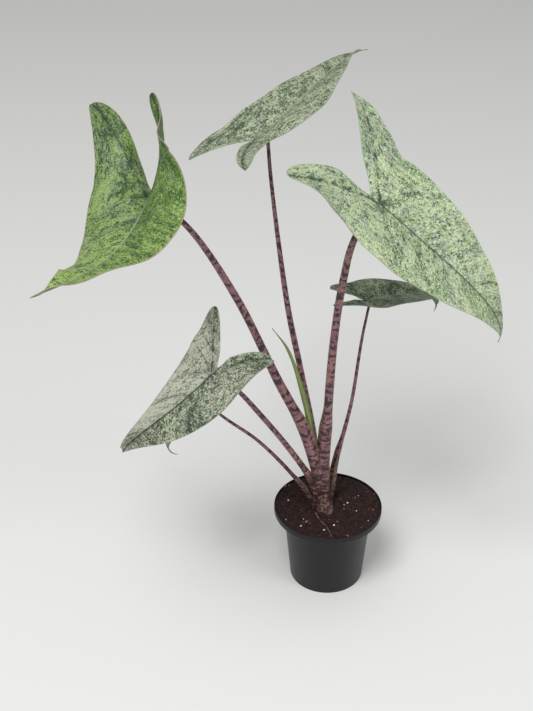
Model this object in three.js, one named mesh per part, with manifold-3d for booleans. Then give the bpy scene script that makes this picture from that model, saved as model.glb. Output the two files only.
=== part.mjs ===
// Potted zebrina alocasia: a nursery pot of potting mix with one plant in it, which has six
// arrow-shaped leaves on barred stalks and a new leaf that is still rolled up.
// Millimetres, +Z up. The origin is the middle of the pot's underside. Angles are in degrees.
import * as THREE from "three";
import { mergeVertices } from "three/addons/utils/BufferGeometryUtils.js";
import Module from "manifold-3d";

const wasm = await Module();
wasm.setup();

const { MathUtils, Vector3 } = THREE;

// Space between pieces that touch, and between a stalk and the folded blade over it
const GAP = 0.33;
const JOINT_GAP = 0.9;
// Points closer than this are one point, and a smaller turn counts as none.
const TINY = 1e-4;

// Pot: a thin moulded shell with a wide rim band above a shoulder. The band's underside is a
// small slope, and the inside corners lie a little higher than the outside ones.
const POT = { height: 94, rimRadius: 60, bandHeight: 7, shoulderRadius: 48.5, shoulderHeight: 82,
  baseRadius: 41, wall: 1.2, floor: 2, sides: 32, slopeWidth: 1, slopeDrop: 0.5, innerRise: 0.7 };
const DRAIN = { count: 6, radius: 4, ring: 27, sides: 10 };

// Potting mix: low relief that rises a little towards the stalks. Its side clears the pot's
// corners by these rises, and its middle points are rings of the least radius.
const SOIL = { edgeHeight: 91.5, mound: 1.5, relief: 0.7, reliefLength: 18, reliefStretch: 1.2,
  reliefPhases: [1, 2], rings: 5, bandRise: 0.9, shoulderRise: 1.1, leastRadius: 0.01 };

// The sheaths' feet, cut level, and the rootstock under them with its main roots. The rootstock's
// outline holds shares of its radius and of its length, from the bottom up.
const STEM = { x: -3, y: -2, footHeight: 80 };
const CORM = { length: 34, radius: 12.5, sides: 14,
  outline: [[0, -1], [0.35, -0.97], [0.7, -0.75], [1.08, -0.4], [1, -0.08], [0.92, 0]] };
const ROOT = { count: 6, length: 34, unevenness: 4, radius: 1.7, drop: 20, dropPower: 1.6,
  firstAngle: 0.4, startShare: 0.5, startOut: 3, sides: 6, steps: 5 };
const SURFACE_ROOT = { radius: 0.7, lift: 0.5, sides: 6,
  points: [[-14, -14], [-11, -24], [-6, -34], [-1, -44], [1.5, -54]] };

// Blades: the ribs reach their full height in a blade of the full rib width, the pinch lies at its
// place along the midrib, and the front flattens towards its drip tip.
const BLADE = { thickness: 0.9, ribHeight: 1.3, fullRibWidth: 45, tailHalfWidth: 1.2, taper: 1.15,
  crowding: 1.15, waveHeight: 0.7, waveLength: 62, pinchPlace: 0.84, pinchSpan: 0.085,
  flatFrom: 0.85 };
// Shares of a lobe's length by which it has narrowed, straightened its outer part by its
// straightening, folded, and spread its inner part, and how rows crowd towards its tip
const LOBE = { narrowedBy: 0.8, straightenedBy: 0.9, straightening: 0.8, foldedBy: 0.6,
  innerBy: 0.5, late: 0.5, crowding: 1.5 };
const OUTER_COLUMNS = [0, 0.1, 0.32, 0.55, 0.78, 1];
const INNER_COLUMNS = [0, 0.3, 0.65, 1];

// Stalks and sheaths: the overrun lengthens a top until the blade cuts it. A path that rises by
// more than the upright share of its length is upright.
const STALK = { sides: 8, steps: 15, overrun: 3 };
const UPRIGHT = 0.3;

// Each leaf's joint is where its stalk meets the blade. Heading is the midrib's compass angle from
// +X as it leaves the joint, pitch its rise and roll the blade's lean about it. Along the midrib,
// bend turns it towards the underside, sweep towards the left half and twist lifts the left half,
// and a higher late puts the turning nearer the tip. Rows counts the rows of points in the front
// and in each lobe. In each half, fold and curl are the angle at the midrib and the turn from
// there to the margin, at the joint, half way and at the tip, and a lobe turns as the midrib does.
// Each stalk station holds how far along it lies, from 0 to 1, and its half width and half depth.
const LEAVES = {
  high_left: {
    rows: [13, 8],
    joint: [-171, -95, 505], heading: 262, pitch: -4, roll: 5,
    length: 206, halfWidth: 50, tail: 8, bridge: 13, bend: -30, sweep: -26, twist: 73, late: 0.8,
    left: {
      fold: [65, -12, -9], curl: [-7, -17, -14], pinch: -15,
      lobe: 112, spread: 28, bend: -51, sweep: -15, twist: -74, late: 0.8,
      outer: 18, inner: 12, lobeFold: 32, lobeCurl: 60, innerFold: -35,
    },
    right: {
      fold: [33, 19, 80], curl: [-45, -26, 39], pinch: 35,
      lobe: 106, spread: 40, bend: -65, sweep: 20, twist: -94, late: 0.6,
      outer: 28, inner: 16, lobeFold: -19, lobeCurl: -10, innerFold: -34,
    },
    stalk: [[-4, -3, 76], [-8, -5, 120], [-15, -8, 154], [-32, -14, 212], [-57, -19, 270],
      [-97, -43, 378], [-141, -76, 471], [-171, -95, 505]],
    stations: [[0, 7.5, 7.5], [0.12, 7.5, 7], [0.28, 7.2, 6], [0.34, 5.6, 5.2], [0.6, 4, 3.8],
      [1, 2.4, 2.4]],
  },
  high_middle: {
    rows: [12, 7],
    joint: [-68, 43, 515], heading: 53, pitch: 18, roll: -20,
    length: 181, halfWidth: 46, tail: 10, bridge: 11, bend: 31, sweep: 8, twist: 13, late: 3.5,
    left: {
      fold: [26, 11, 7], curl: [-15, 4, -14],
      lobe: 81, spread: 41, bend: 22, sweep: 3, twist: -17,
      outer: 28, inner: 10, lobeFold: -3, lobeCurl: -1, innerFold: 19,
    },
    right: {
      fold: [36, 3, 37], curl: [-65, 2, 19],
      lobe: 115, spread: 22, bend: 27, sweep: 27, twist: -16,
      outer: 19, inner: 7, lobeFold: -19, lobeCurl: 28, innerFold: 60,
    },
    stalk: [[-6, 1, 76], [-12, 3, 130], [-20, 5, 190], [-32, 9, 261], [-47, 15, 338],
      [-64, 31, 468], [-68, 43, 515]],
    stations: [[0, 8, 8], [0.12, 7, 7], [0.25, 4.2, 4.2], [0.45, 3.2, 3.2], [1, 1.8, 1.8]],
  },
  high_right: {
    rows: [13, 8],
    joint: [34, -55, 483], heading: -2, pitch: -42, roll: 29,
    length: 208, halfWidth: 55, tail: 8, bridge: 11, bend: 66, sweep: 0, twist: 6, late: 4,
    left: {
      fold: [22, 16, 0], curl: [-25, 6, -12],
      lobe: 119, spread: 50, bend: 50, sweep: 10, twist: -39,
      outer: 23, inner: 16, lobeFold: -8, lobeCurl: 44, innerFold: 4,
    },
    right: {
      fold: [19, 4, 14], curl: [-33, -5, -2],
      lobe: 120, spread: 26, bend: 8, sweep: 24, twist: 35,
      outer: 28, inner: 19, lobeFold: -24, lobeCurl: 37, innerFold: 21,
    },
    stalk: [[-2, -5, 76], [-6, -6, 120], [-7, -7, 154], [-5, -15, 210], [-2, -34, 323],
      [4, -49, 400], [13, -61, 452], [34, -55, 483]],
    stations: [[0, 8, 8], [0.12, 7.5, 7.5], [0.33, 6.2, 6], [0.4, 4.6, 4.5], [0.7, 3.9, 3.9],
      [1, 3, 3]],
  },
  low_right: {
    rows: [11, 6],
    joint: [41, 53, 326], heading: 32, pitch: -8, roll: 17,
    length: 130, halfWidth: 30, tail: 14, bridge: 7, bend: 87, sweep: 9, twist: 4, late: 2,
    left: {
      fold: [5, 0, -10], curl: [-15, -10, -25],
      lobe: 45, spread: 28, bend: 0, sweep: 3, twist: -24,
      outer: 19, inner: 5, lobeFold: 5, lobeCurl: -10, innerFold: 30,
    },
    right: {
      fold: [25, 20, 5], curl: [0, 5, 0],
      lobe: 61, spread: 17, bend: -12, sweep: -8, twist: 8,
      outer: 19, inner: 5, lobeFold: 5, lobeCurl: 5, innerFold: 35,
    },
    stalk: [[-2, 1, 76], [2, 2, 109], [8, 9, 149], [23, 24, 213], [33, 42, 284], [41, 53, 326]],
    stations: [[0, 6, 6], [0.12, 5, 5], [0.32, 3, 3], [0.6, 1.9, 1.9], [1, 1.4, 1.4]],
  },
  low_left: {
    rows: [11, 6],
    joint: [-122, -78, 314], heading: 223, pitch: -27, roll: -71,
    length: 149, halfWidth: 33, tail: 5, bridge: 9, bend: 87, sweep: 5, twist: 52, late: 0,
    left: {
      fold: [38, -1, -30], curl: [27, -11, -46],
      lobe: 66, spread: 22, bend: 34, sweep: 12, twist: 44,
      outer: 23, inner: 9, lobeFold: 10, lobeCurl: 10, innerFold: 54,
    },
    right: {
      fold: [-5, 46, 56], curl: [-10, 28, 51],
      lobe: 66, spread: 44, bend: -2, sweep: 1, twist: 16,
      outer: 23, inner: 9, lobeFold: 16, lobeCurl: 13, innerFold: -8,
    },
    stalk: [[-9, -5, 76], [-12, -5, 108], [-20, -7, 134], [-44, -20, 184], [-77, -42, 246],
      [-100, -57, 285], [-122, -78, 314]],
    stations: [[0, 5.5, 5.5], [0.2, 4.6, 4.4], [0.32, 3.4, 3.2], [0.6, 2.9, 2.8], [1, 2, 2]],
  },
  small: {
    rows: [12, 5],
    joint: [-136, -6, 237], heading: 201, pitch: -35, roll: -5,
    length: 85, halfWidth: 19, tail: 12, bridge: 6, bend: 125, sweep: 4, twist: 0, late: 1.8,
    left: {
      fold: [15, 10, 5], curl: [-10, -5, -5],
      lobe: 36, spread: 25, bend: 25, sweep: 5, twist: -5,
      outer: 11, inner: 5, lobeFold: 0, lobeCurl: 5, innerFold: 20,
    },
    right: {
      fold: [15, 10, 5], curl: [-10, -5, -5],
      lobe: 36, spread: 25, bend: 25, sweep: 5, twist: -5,
      outer: 11, inner: 5, lobeFold: 0, lobeCurl: 5, innerFold: 20,
    },
    stalk: [[-12, -2, 76], [-20, -1, 104], [-41, -2, 138], [-78, -4, 184], [-112, -6, 214],
      [-136, -6, 237]],
    stations: [[0, 4, 4], [0.2, 3.2, 3], [0.35, 2.2, 2.1], [0.7, 1.8, 1.8], [1, 1.4, 1.4]],
  },
};
// From the youngest sheath, in the middle, to the oldest, on the outside
const SHEATH_ORDER = ["high_left", "high_right", "high_middle", "low_right", "low_left", "small"];

// The new leaf, rolled round its own midrib, and the pointed old scale in front of the sheaths
const NEW_LEAF = {
  path: [[-4, -3, 76], [-9, -5, 130], [-19, -9, 188], [-29, -14, 243], [-47, -20, 307],
    [-63, -23, 334]],
  stations: [[0, 2.6, 2.4], [0.3, 3, 2.8], [0.62, 3.7, 2.9], [0.85, 2, 1.6], [1, 0.5, 0.5]],
  sides: 12, steps: 14, overlap: 0.2,
};
const OLD_SCALE = {
  path: [[-4, -7, 76], [-4, -8, 94], [-5, -9, 108], [-6, -9.5, 121]],
  stations: [[0, 11, 9.5], [0.4, 10.5, 8.6], [0.7, 6, 6.4], [1, 1, 3]],
  sides: 14, steps: 7,
};

const COLOURS = { pot: "#151516", soil: "#3a2320", corm: "#6b4a3c", root: "#b99a86",
  blade: "#8fae74", stalk: "#8c5f66", newLeaf: "#8a9a4c", oldScale: "#6e4a42" };
const ROUGHNESS = { pot: 0.45, soil: 0.95, corm: 0.8, root: 0.7, blade: 0.5, stalk: 0.55 };

const rad = MathUtils.degToRad;
const ease = (x) => MathUtils.smoothstep(x, 0, 1);
const vector = (xyz) => new Vector3(...xyz);
const fullTurns = (share) => share * 2 * Math.PI;
const shares = (steps) => Array.from({ length: steps + 1 }, (_, i) => i / steps);

// Closed shapes
function closedShape(points, faces) {
  const geometry = new THREE.BufferGeometry();
  const numbers = points.flatMap((p) => p.toArray());
  geometry.setAttribute("position", new THREE.Float32BufferAttribute(numbers, 3));
  geometry.setIndex(faces.flat());
  return facingOut(welded(geometry));
}

// Merges the vertices that lie on each other and leaves out the faces that this closes up.
function welded(geometry) {
  geometry.deleteAttribute("normal");
  geometry.deleteAttribute("uv");
  const merged = mergeVertices(geometry, TINY);
  const index = merged.index.array;
  const kept = [];
  for (let i = 0; i < index.length; i += 3) {
    const [a, b, c] = index.slice(i, i + 3);
    if (a !== b && b !== c && c !== a) kept.push(a, b, c);
  }
  merged.setIndex(kept);
  return merged;
}

function signedVolume(geometry) {
  const position = geometry.getAttribute("position");
  const index = geometry.index.array;
  const corner = (i) => new Vector3().fromBufferAttribute(position, index[i]);
  let volume = 0;
  for (let i = 0; i < index.length; i += 3) {
    volume += corner(i).dot(corner(i + 1).cross(corner(i + 2)));
  }
  return volume / 6;
}

function facingOut(geometry) {
  if (signedVolume(geometry) < 0) geometry.setIndex([...geometry.index.array].reverse());
  return geometry;
}

// Cutting and joining
function toSolid(geometry) {
  return new wasm.Manifold(new wasm.Mesh({
    numProp: 3,
    vertProperties: new Float32Array(geometry.getAttribute("position").array),
    triVerts: new Uint32Array(geometry.index.array),
  }));
}

function toGeometry(solid) {
  const mesh = solid.getMesh();
  const geometry = new THREE.BufferGeometry();
  geometry.setAttribute("position", new THREE.Float32BufferAttribute([...mesh.vertProperties], 3));
  geometry.setIndex([...mesh.triVerts]);
  return geometry;
}

// The largest piece that is left of a solid when its cutters are taken away
function carve(solid, cutters) {
  const rest = cutters.reduce((body, cutter) => body.subtract(cutter), solid);
  const pieces = rest.decompose();
  pieces.sort((a, b) => b.volume() - a.volume());
  return pieces[0];
}

// Skins rings of equal counts of points into a closed tube with flat ends.
function loft(rings) {
  const sides = rings[0].length;
  const faces = [];
  for (let r = 0; r + 1 < rings.length; r++) {
    for (let k = 0; k < sides; k++) {
      const a = r * sides + k;
      const b = r * sides + (k + 1) % sides;
      faces.push([a, b, b + sides], [a, b + sides, a + sides]);
    }
  }
  const last = (rings.length - 1) * sides;
  for (let k = 1; k + 1 < sides; k++) {
    faces.push([0, k + 1, k], [last, last + k, last + k + 1]);
  }
  return closedShape(rings.flat(), faces);
}

// Half width and half depth at a share of a stalk, easing from one station to the next
function sizeAt(stations, share) {
  const next = Math.max(1, stations.findIndex((s) => s[0] >= share));
  const [start, widthA, depthA] = stations[next - 1];
  const [end, widthB, depthB] = stations[next];
  const t = ease((share - start) / (end - start));
  return [MathUtils.lerp(widthA, widthB, t), MathUtils.lerp(depthA, depthB, t)];
}

// The level direction from a path's start towards its end, or straight up for a lying path
function leanOf(path) {
  const run = path[path.length - 1].clone().sub(path[0]);
  return run.z > UPRIGHT * run.length() ? run.clone().setZ(0).normalize() : new Vector3(0, 0, 1);
}

// A round tapering body along a path: extra widens it, overrun lengthens its top and radiusAt
// shapes its section.
function stalkBody(form, { extra = 0, overrun = 0, radiusAt = () => 1 } = {}) {
  const path = form.path.map(vector);
  const outward = leanOf(path);
  const curve = new THREE.CatmullRomCurve3(path, false, "centripetal");
  const rings = shares(form.steps).map((s) => {
    const [width, depth] = sizeAt(form.stations, s).map((size) => size + extra);
    const across = outward.clone().cross(curve.getTangentAt(s)).normalize();
    const deep = curve.getTangentAt(s).cross(across);
    return ringAround(curve.getPointAt(s), across.multiplyScalar(width),
      deep.multiplyScalar(depth), form.sides, radiusAt);
  });
  if (overrun) {
    const onwards = path[path.length - 1].clone().sub(path[path.length - 2]).setLength(overrun);
    rings.push(rings[form.steps].map((p) => p.clone().add(onwards)));
  }
  return toSolid(loft(rings));
}

function ringAround(centre, across, deep, sides, radiusAt) {
  return shares(sides).slice(0, sides).map((turn) => {
    const angle = fullTurns(turn);
    const reach = radiusAt(turn);
    return centre.clone().addScaledVector(across, reach * Math.cos(angle))
      .addScaledVector(deep, reach * Math.sin(angle));
  });
}

// Blades
// How far out and how far up a point lies at a share of an arc that starts at one angle and turns
function arcPoint(width, start, turn, share) {
  const wholeTurn = Math.abs(turn) < TINY ? TINY : turn;
  const end = start + wholeTurn * share;
  const radius = width / wholeTurn;
  return [radius * (Math.sin(end) - Math.sin(start)), radius * (Math.cos(start) - Math.cos(end))];
}

// A smooth run through three values, at 0, one half and 1
function through([first, middle, last], s) {
  return first * (1 - s) * (1 - 2 * s) + 4 * middle * s * (1 - s) + last * s * (2 * s - 1);
}

// Frames along a vein that bends towards its underside, sweeps sideways and twists.
function growVein(start, length, turns, late, stops) {
  const frames = [start];
  const turned = (frame, axis, angle) => new THREE.Quaternion().setFromAxisAngle(frame[axis], angle);
  for (let i = 1; i < stops.length; i++) {
    const frame = frames[i - 1];
    const share = stops[i] ** (1 + late) - stops[i - 1] ** (1 + late);
    const bend = turned(frame, "across", rad(turns.bend) * share);
    const sweep = turned(frame, "up", rad(turns.sweep) * share);
    const twist = turned(frame, "along", rad(turns.twist) * share);
    const half = new THREE.Quaternion().slerp(bend.clone().multiply(sweep), 0.5);
    const reach = (stops[i] - stops[i - 1]) * length;
    const step = frame.along.clone().applyQuaternion(half).multiplyScalar(reach);
    const turn = bend.multiply(sweep).multiply(twist);
    frames.push({
      at: frame.at.clone().add(step),
      along: frame.along.clone().applyQuaternion(turn),
      across: frame.across.clone().applyQuaternion(turn),
      up: frame.up.clone().applyQuaternion(turn),
    });
  }
  return frames;
}

// Rows of points that leave a vein sideways, one row for each frame
function strip(frames, columns, shape) {
  return frames.map((frame, i) => {
    const { out, width, fold, curl, wave = 0 } = shape(frame, i);
    return columns.map((t) => {
      const [outwards, upwards] = arcPoint(width, fold, curl, t);
      return frame.at.clone().addScaledVector(out, outwards)
        .addScaledVector(frame.up, upwards + wave * t * t);
    });
  });
}

function edgeWave(distance) {
  return BLADE.waveHeight * Math.sin(fullTurns(distance / BLADE.waveLength));
}

// A direction between two others at right angles: along the first at 0, the second at a quarter
function between(first, second, angle) {
  return first.clone().multiplyScalar(Math.cos(angle)).addScaledVector(second, Math.sin(angle));
}

function jointFrame(leaf) {
  const heading = rad(leaf.heading);
  const ahead = new Vector3(Math.cos(heading), Math.sin(heading), 0);
  const along = between(ahead, new Vector3(0, 0, 1), rad(leaf.pitch));
  const across = new Vector3(-ahead.y, ahead.x, 0).applyAxisAngle(along, rad(leaf.roll));
  return { at: vector(leaf.joint), along, across, up: along.clone().cross(across) };
}

// Half width of the front of the blade, down to its pointed drip tip
function frontWidth(leaf, s) {
  const tail = leaf.tail / leaf.length;
  const main = Math.min(1, s / (1 - tail));
  const tailWidth = BLADE.tailHalfWidth * Math.min(1, (1 - s) / tail);
  return leaf.halfWidth * (1 - main ** 2) ** BLADE.taper + tailWidth;
}

function frontStrip(leaf, half, side, frames, stops) {
  return strip(frames, OUTER_COLUMNS, (frame, i) => {
    const fromPinch = (stops[i] - BLADE.pinchPlace) / BLADE.pinchSpan;
    const pinch = (half.pinch ?? 0) * Math.exp(-(fromPinch ** 2));
    const flat = 1 - ease((stops[i] - BLADE.flatFrom) / (1 - BLADE.flatFrom));
    return {
      out: frame.across.clone().multiplyScalar(side),
      width: frontWidth(leaf, stops[i]),
      fold: flat * rad(through(half.fold, stops[i]) + pinch),
      curl: flat * rad(through(half.curl, stops[i])),
      wave: flat * edgeWave(stops[i] * leaf.length),
    };
  });
}

// The frame in which a lobe's main vein leaves the joint
function lobeFrame(half, side, joint) {
  const spread = rad(half.spread);
  const sideways = joint.across.clone().multiplyScalar(side);
  const level = between(sideways, joint.up, rad(half.fold[0]));
  const up = between(joint.up, sideways.negate(), rad(half.fold[0]));
  const along = between(joint.along.clone().negate(), level, spread);
  const across = between(level, joint.along, spread);
  return { at: joint.at, along, across, up };
}

const rounding = (v) => Math.sqrt(1 - v ** 4);

// The part of a lobe between its main vein and the outer margin
function outerLobe(leaf, half, frames, stops) {
  const rootWidth = leaf.halfWidth + BLADE.tailHalfWidth;
  return strip(frames, OUTER_COLUMNS, (frame, i) => {
    const v = stops[i];
    const straightened = LOBE.straightening * ease(v / LOBE.straightenedBy);
    const wide = (1 - Math.min(1, v / LOBE.narrowedBy)) ** 2;
    return {
      out: between(frame.across, frame.along, rad(half.spread) * (1 - straightened)),
      width: MathUtils.lerp(half.outer, rootWidth, wide) * rounding(v),
      fold: rad(half.lobeFold) * ease(v / LOBE.foldedBy),
      curl: rad(MathUtils.lerp(half.curl[0], half.lobeCurl, ease(v))),
      wave: -edgeWave(v * half.lobe) * rounding(v),
    };
  });
}

// The part of a lobe between its main vein and the margin that faces the other lobe
function innerLobe(leaf, half, frames, stops) {
  return strip(frames, INNER_COLUMNS, (frame, i) => {
    const v = stops[i];
    const opened = ease(v / LOBE.innerBy);
    const lean = MathUtils.lerp(rad(half.spread), Math.PI / 2, opened);
    return {
      out: between(frame.along, frame.across.clone().negate(), lean),
      width: MathUtils.lerp(leaf.bridge, half.inner, opened) * rounding(v),
      fold: rad(half.innerFold) * opened,
      curl: 0,
    };
  });
}

function lobeStrips(leaf, half, side, joint) {
  const hand = -side;
  const turns = { bend: hand * half.bend, sweep: hand * half.sweep, twist: hand * half.twist };
  const stops = shares(leaf.rows[1]).map((r) => 1 - (1 - r) ** LOBE.crowding);
  const late = half.late ?? LOBE.late;
  const frames = growVein(lobeFrame(half, side, joint), half.lobe, turns, late, stops);
  const ribs = stops.map((v) => 1 - v);
  return {
    outer: { rows: outerLobe(leaf, half, frames, stops), ribs, flip: side > 0 },
    inner: { rows: innerLobe(leaf, half, frames, stops), ribs, flip: side < 0 },
  };
}

// All strips of a blade, each with its rib's height along the vein and the way its faces turn
function bladeStrips(leaf) {
  const joint = jointFrame(leaf);
  const stops = shares(leaf.rows[0]).map((r) => 1 - (1 - r) ** BLADE.crowding);
  const frames = growVein(joint, leaf.length, leaf, leaf.late, stops);
  const ribs = stops.map((s) => 1 - s);
  return [[leaf.left, 1], [leaf.right, -1]].flatMap(([half, side]) => {
    const front = { rows: frontStrip(leaf, half, side, frames, stops), ribs, flip: side < 0 };
    const { outer, inner } = lobeStrips(leaf, half, side, joint);
    return [front, outer, inner];
  });
}

// One sheet of shared points from the strips, with the rib's share of height at each point
function bladeSheet(leaf) {
  const points = [];
  const ribs = [];
  const known = new Map();
  const numberOf = (point, rib) => {
    const key = point.toArray().map((v) => v.toFixed(3)).join();
    if (!known.has(key)) {
      known.set(key, points.length);
      points.push(point);
      ribs.push(0);
    }
    const number = known.get(key);
    ribs[number] = Math.max(ribs[number], rib);
    return number;
  };
  const faces = bladeStrips(leaf).flatMap(({ rows, ribs: heights, flip }) => {
    const numbers = rows.map((row, r) => row.map((p, c) => numberOf(p, c === 0 ? heights[r] : 0)));
    return gridFaces(numbers).map((face) => (flip ? face.toReversed() : face));
  });
  return { points, ribs, faces };
}

// Two triangles for each cell of a grid of point numbers, without those that have closed up
function gridFaces(numbers) {
  const faces = [];
  for (let r = 0; r + 1 < numbers.length; r++) {
    for (let c = 0; c + 1 < numbers[r].length; c++) {
      const [a, b] = [numbers[r][c], numbers[r + 1][c]];
      const [d, e] = [numbers[r][c + 1], numbers[r + 1][c + 1]];
      faces.push([a, b, e], [a, e, d]);
    }
  }
  return faces.filter((face) => new Set(face).size === 3);
}

function sheetNormals(points, faces) {
  const normals = points.map(() => new Vector3());
  for (const [a, b, c] of faces) {
    const normal = points[b].clone().sub(points[a]).cross(points[c].clone().sub(points[a]));
    for (const corner of [a, b, c]) normals[corner].add(normal);
  }
  return normals.map((n) => n.normalize());
}

// Edges that only one face has, each in its face's own direction
function openEdges(faces) {
  const edges = new Map();
  for (const face of faces) {
    for (let i = 0; i < 3; i++) {
      const [a, b] = [face[i], face[(i + 1) % 3]];
      if (!edges.delete(`${b},${a}`)) edges.set(`${a},${b}`, [a, b]);
    }
  }
  return [...edges.values()];
}

// A blade of even thickness with raised veins on its underside. Extra widens it on both faces.
function bladeBody(leaf, extra = 0) {
  const { points, ribs, faces } = bladeSheet(leaf);
  const normals = sheetNormals(points, faces);
  const half = BLADE.thickness / 2 + extra;
  const ribScale = BLADE.ribHeight * Math.min(1, leaf.halfWidth / BLADE.fullRibWidth);
  const top = points.map((p, i) => p.clone().addScaledVector(normals[i], half));
  const under = points.map((p, i) => p.clone().addScaledVector(normals[i], -half - ribScale * ribs[i]));
  const count = points.length;
  const below = faces.map((face) => face.toReversed().map((corner) => corner + count));
  const rim = openEdges(faces).flatMap(([a, b]) => [[a, a + count, b + count], [a, b + count, b]]);
  return toSolid(closedShape([...top, ...under], [...faces, ...below, ...rim]));
}

// Pot and potting mix
function turned(profile, sides) {
  const lathe = new THREE.LatheGeometry(profile.map(([r, z]) => new THREE.Vector2(r, z)), sides);
  return facingOut(welded(lathe.rotateX(Math.PI / 2)));
}

function potProfile() {
  const { height, rimRadius, bandHeight, shoulderRadius, shoulderHeight, baseRadius } = POT;
  const { wall, floor, slopeWidth, slopeDrop, innerRise } = POT;
  const band = height - bandHeight;
  const outside = [
    [0, 0], [baseRadius, 0], [shoulderRadius, shoulderHeight],
    [rimRadius - slopeWidth, band - slopeDrop], [rimRadius, band], [rimRadius, height],
  ];
  const inside = [
    [rimRadius - wall, height], [rimRadius - wall, band + innerRise],
    [shoulderRadius - wall, shoulderHeight + innerRise], [baseRadius - wall, floor], [0, floor],
  ];
  return [...outside, ...inside];
}

// A drill through the pot's floor at a share of a full turn
function drainDrill(share) {
  const depth = 3 * POT.floor;
  const drill = new THREE.CylinderGeometry(DRAIN.radius, DRAIN.radius, depth, DRAIN.sides);
  const angle = fullTurns(share);
  drill.rotateX(Math.PI / 2);
  drill.translate(DRAIN.ring * Math.cos(angle), DRAIN.ring * Math.sin(angle), 0);
  return toSolid(welded(drill));
}

function potBody() {
  const drills = shares(DRAIN.count).slice(1).map(drainDrill);
  return carve(toSolid(turned(potProfile(), POT.sides)), drills);
}

function soilHeight(x, y) {
  const { edgeHeight, mound, relief, reliefLength, reliefStretch, reliefPhases } = SOIL;
  const centre = 1 - (Math.hypot(x, y) / POT.rimRadius) ** 2;
  const alongX = Math.sin(fullTurns(x / reliefLength) + reliefPhases[0]);
  const alongY = Math.sin(fullTurns(y / (reliefStretch * reliefLength)) + reliefPhases[1]);
  return edgeHeight + mound * centre + relief * alongX * alongY * Math.min(1, 2 * centre);
}

// A ring of points round the pot's axis, each as high as heightAt makes it
function potRing(radius, heightAt) {
  return shares(POT.sides).slice(0, POT.sides).map((turn) => {
    const x = radius * Math.sin(fullTurns(turn));
    const y = -radius * Math.cos(fullTurns(turn));
    return new Vector3(x, y, heightAt(x, y));
  });
}

// The mix fills the pot a gap inside its wall, and its top follows soilHeight.
function soilBody() {
  const space = POT.wall + GAP;
  const topRadius = POT.rimRadius - space;
  const floor = POT.floor + GAP;
  const side = [
    [topRadius, POT.height - POT.bandHeight + SOIL.bandRise],
    [POT.shoulderRadius - space, POT.shoulderHeight + SOIL.shoulderRise],
    [POT.baseRadius - space, floor],
    [SOIL.leastRadius, floor],
  ];
  const top = shares(SOIL.rings).map((share) => Math.max(SOIL.leastRadius, share * topRadius));
  const topRings = top.map((radius) => potRing(radius, soilHeight));
  return toSolid(loft([...topRings, ...side.map(([radius, z]) => potRing(radius, () => z))]));
}

// Rootstock: a short tapering stem with its roots joined on
function cormBody(extra = 0) {
  const top = STEM.footHeight - GAP;
  const profile = CORM.outline.map(([wide, high]) => {
    const radius = wide ? wide * CORM.radius + extra : 0;
    return [radius, top + high * CORM.length + (high ? -extra : extra)];
  });
  const outline = turned([...profile, [0, top + extra]], CORM.sides);
  const core = toSolid(outline.translate(STEM.x, STEM.y, 0));
  const turns = shares(ROOT.count).slice(1);
  return turns.reduce((body, turn) => body.add(rootBody(turn, extra)), core);
}

function rootBody(turn, extra) {
  const angle = fullTurns(turn) + ROOT.firstAngle;
  const out = new Vector3(Math.cos(angle), Math.sin(angle), 0);
  const startHeight = STEM.footHeight - ROOT.startShare * CORM.length;
  const reach = ROOT.length - ROOT.unevenness * Math.cos(3 * angle);
  const path = [0, 0.5, 1].map((t) => {
    const distance = ROOT.startOut + t * reach;
    const height = startHeight - ROOT.drop * t ** ROOT.dropPower;
    return [STEM.x + distance * out.x, STEM.y + distance * out.y, height];
  });
  const thick = 2 * ROOT.radius;
  const thin = ROOT.radius / 2;
  const form = { path, stations: [[0, thick, thick], [1, thin, thin]], ...ROOT };
  return stalkBody(form, { extra, overrun: extra });
}

function surfaceRootBody() {
  const { radius, lift, points, sides } = SURFACE_ROOT;
  const path = points.map(([x, y]) => [x, y, soilHeight(x, y) + radius + lift]);
  const stations = [[0, radius, radius], [1, radius / 2, radius / 2]];
  return stalkBody({ path, stations, sides, steps: 3 * points.length });
}

// Leaves
function stalkOf(leaf, extra = 0) {
  const form = { path: leaf.stalk, stations: leaf.stations, ...STALK };
  return stalkBody(form, { extra, overrun: STALK.overrun });
}

function newLeafBody(extra = 0) {
  const radiusAt = (turn) => 1 + NEW_LEAF.overlap * (turn - 0.5);
  return stalkBody(NEW_LEAF, { extra, radiusAt });
}

const oldScaleBody = (extra = 0) => stalkBody(OLD_SCALE, { extra });

const standing = (body) => body.trimByPlane([0, 0, 1], STEM.footHeight);

// The plant's solids from the middle outwards: each stalk is cut to lie round the younger ones,
// and its top to lie under its own blade.
function plantBodies() {
  const bodies = { new_leaf: standing(newLeafBody()) };
  const inside = [newLeafBody(GAP)];
  for (const name of SHEATH_ORDER) {
    const leaf = LEAVES[name];
    const cutters = [bladeBody(leaf, JOINT_GAP), ...inside];
    bodies[`${name}_blade`] = bladeBody(leaf);
    bodies[`${name}_stalk`] = carve(standing(stalkOf(leaf)), cutters);
    inside.push(stalkOf(leaf, GAP));
  }
  bodies.old_scale = carve(standing(oldScaleBody()), inside);
  inside.push(oldScaleBody(GAP));
  return { bodies, footprints: inside };
}

function material(colour, roughness) {
  return new THREE.MeshStandardMaterial({ color: colour, roughness, metalness: 0 });
}

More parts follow.
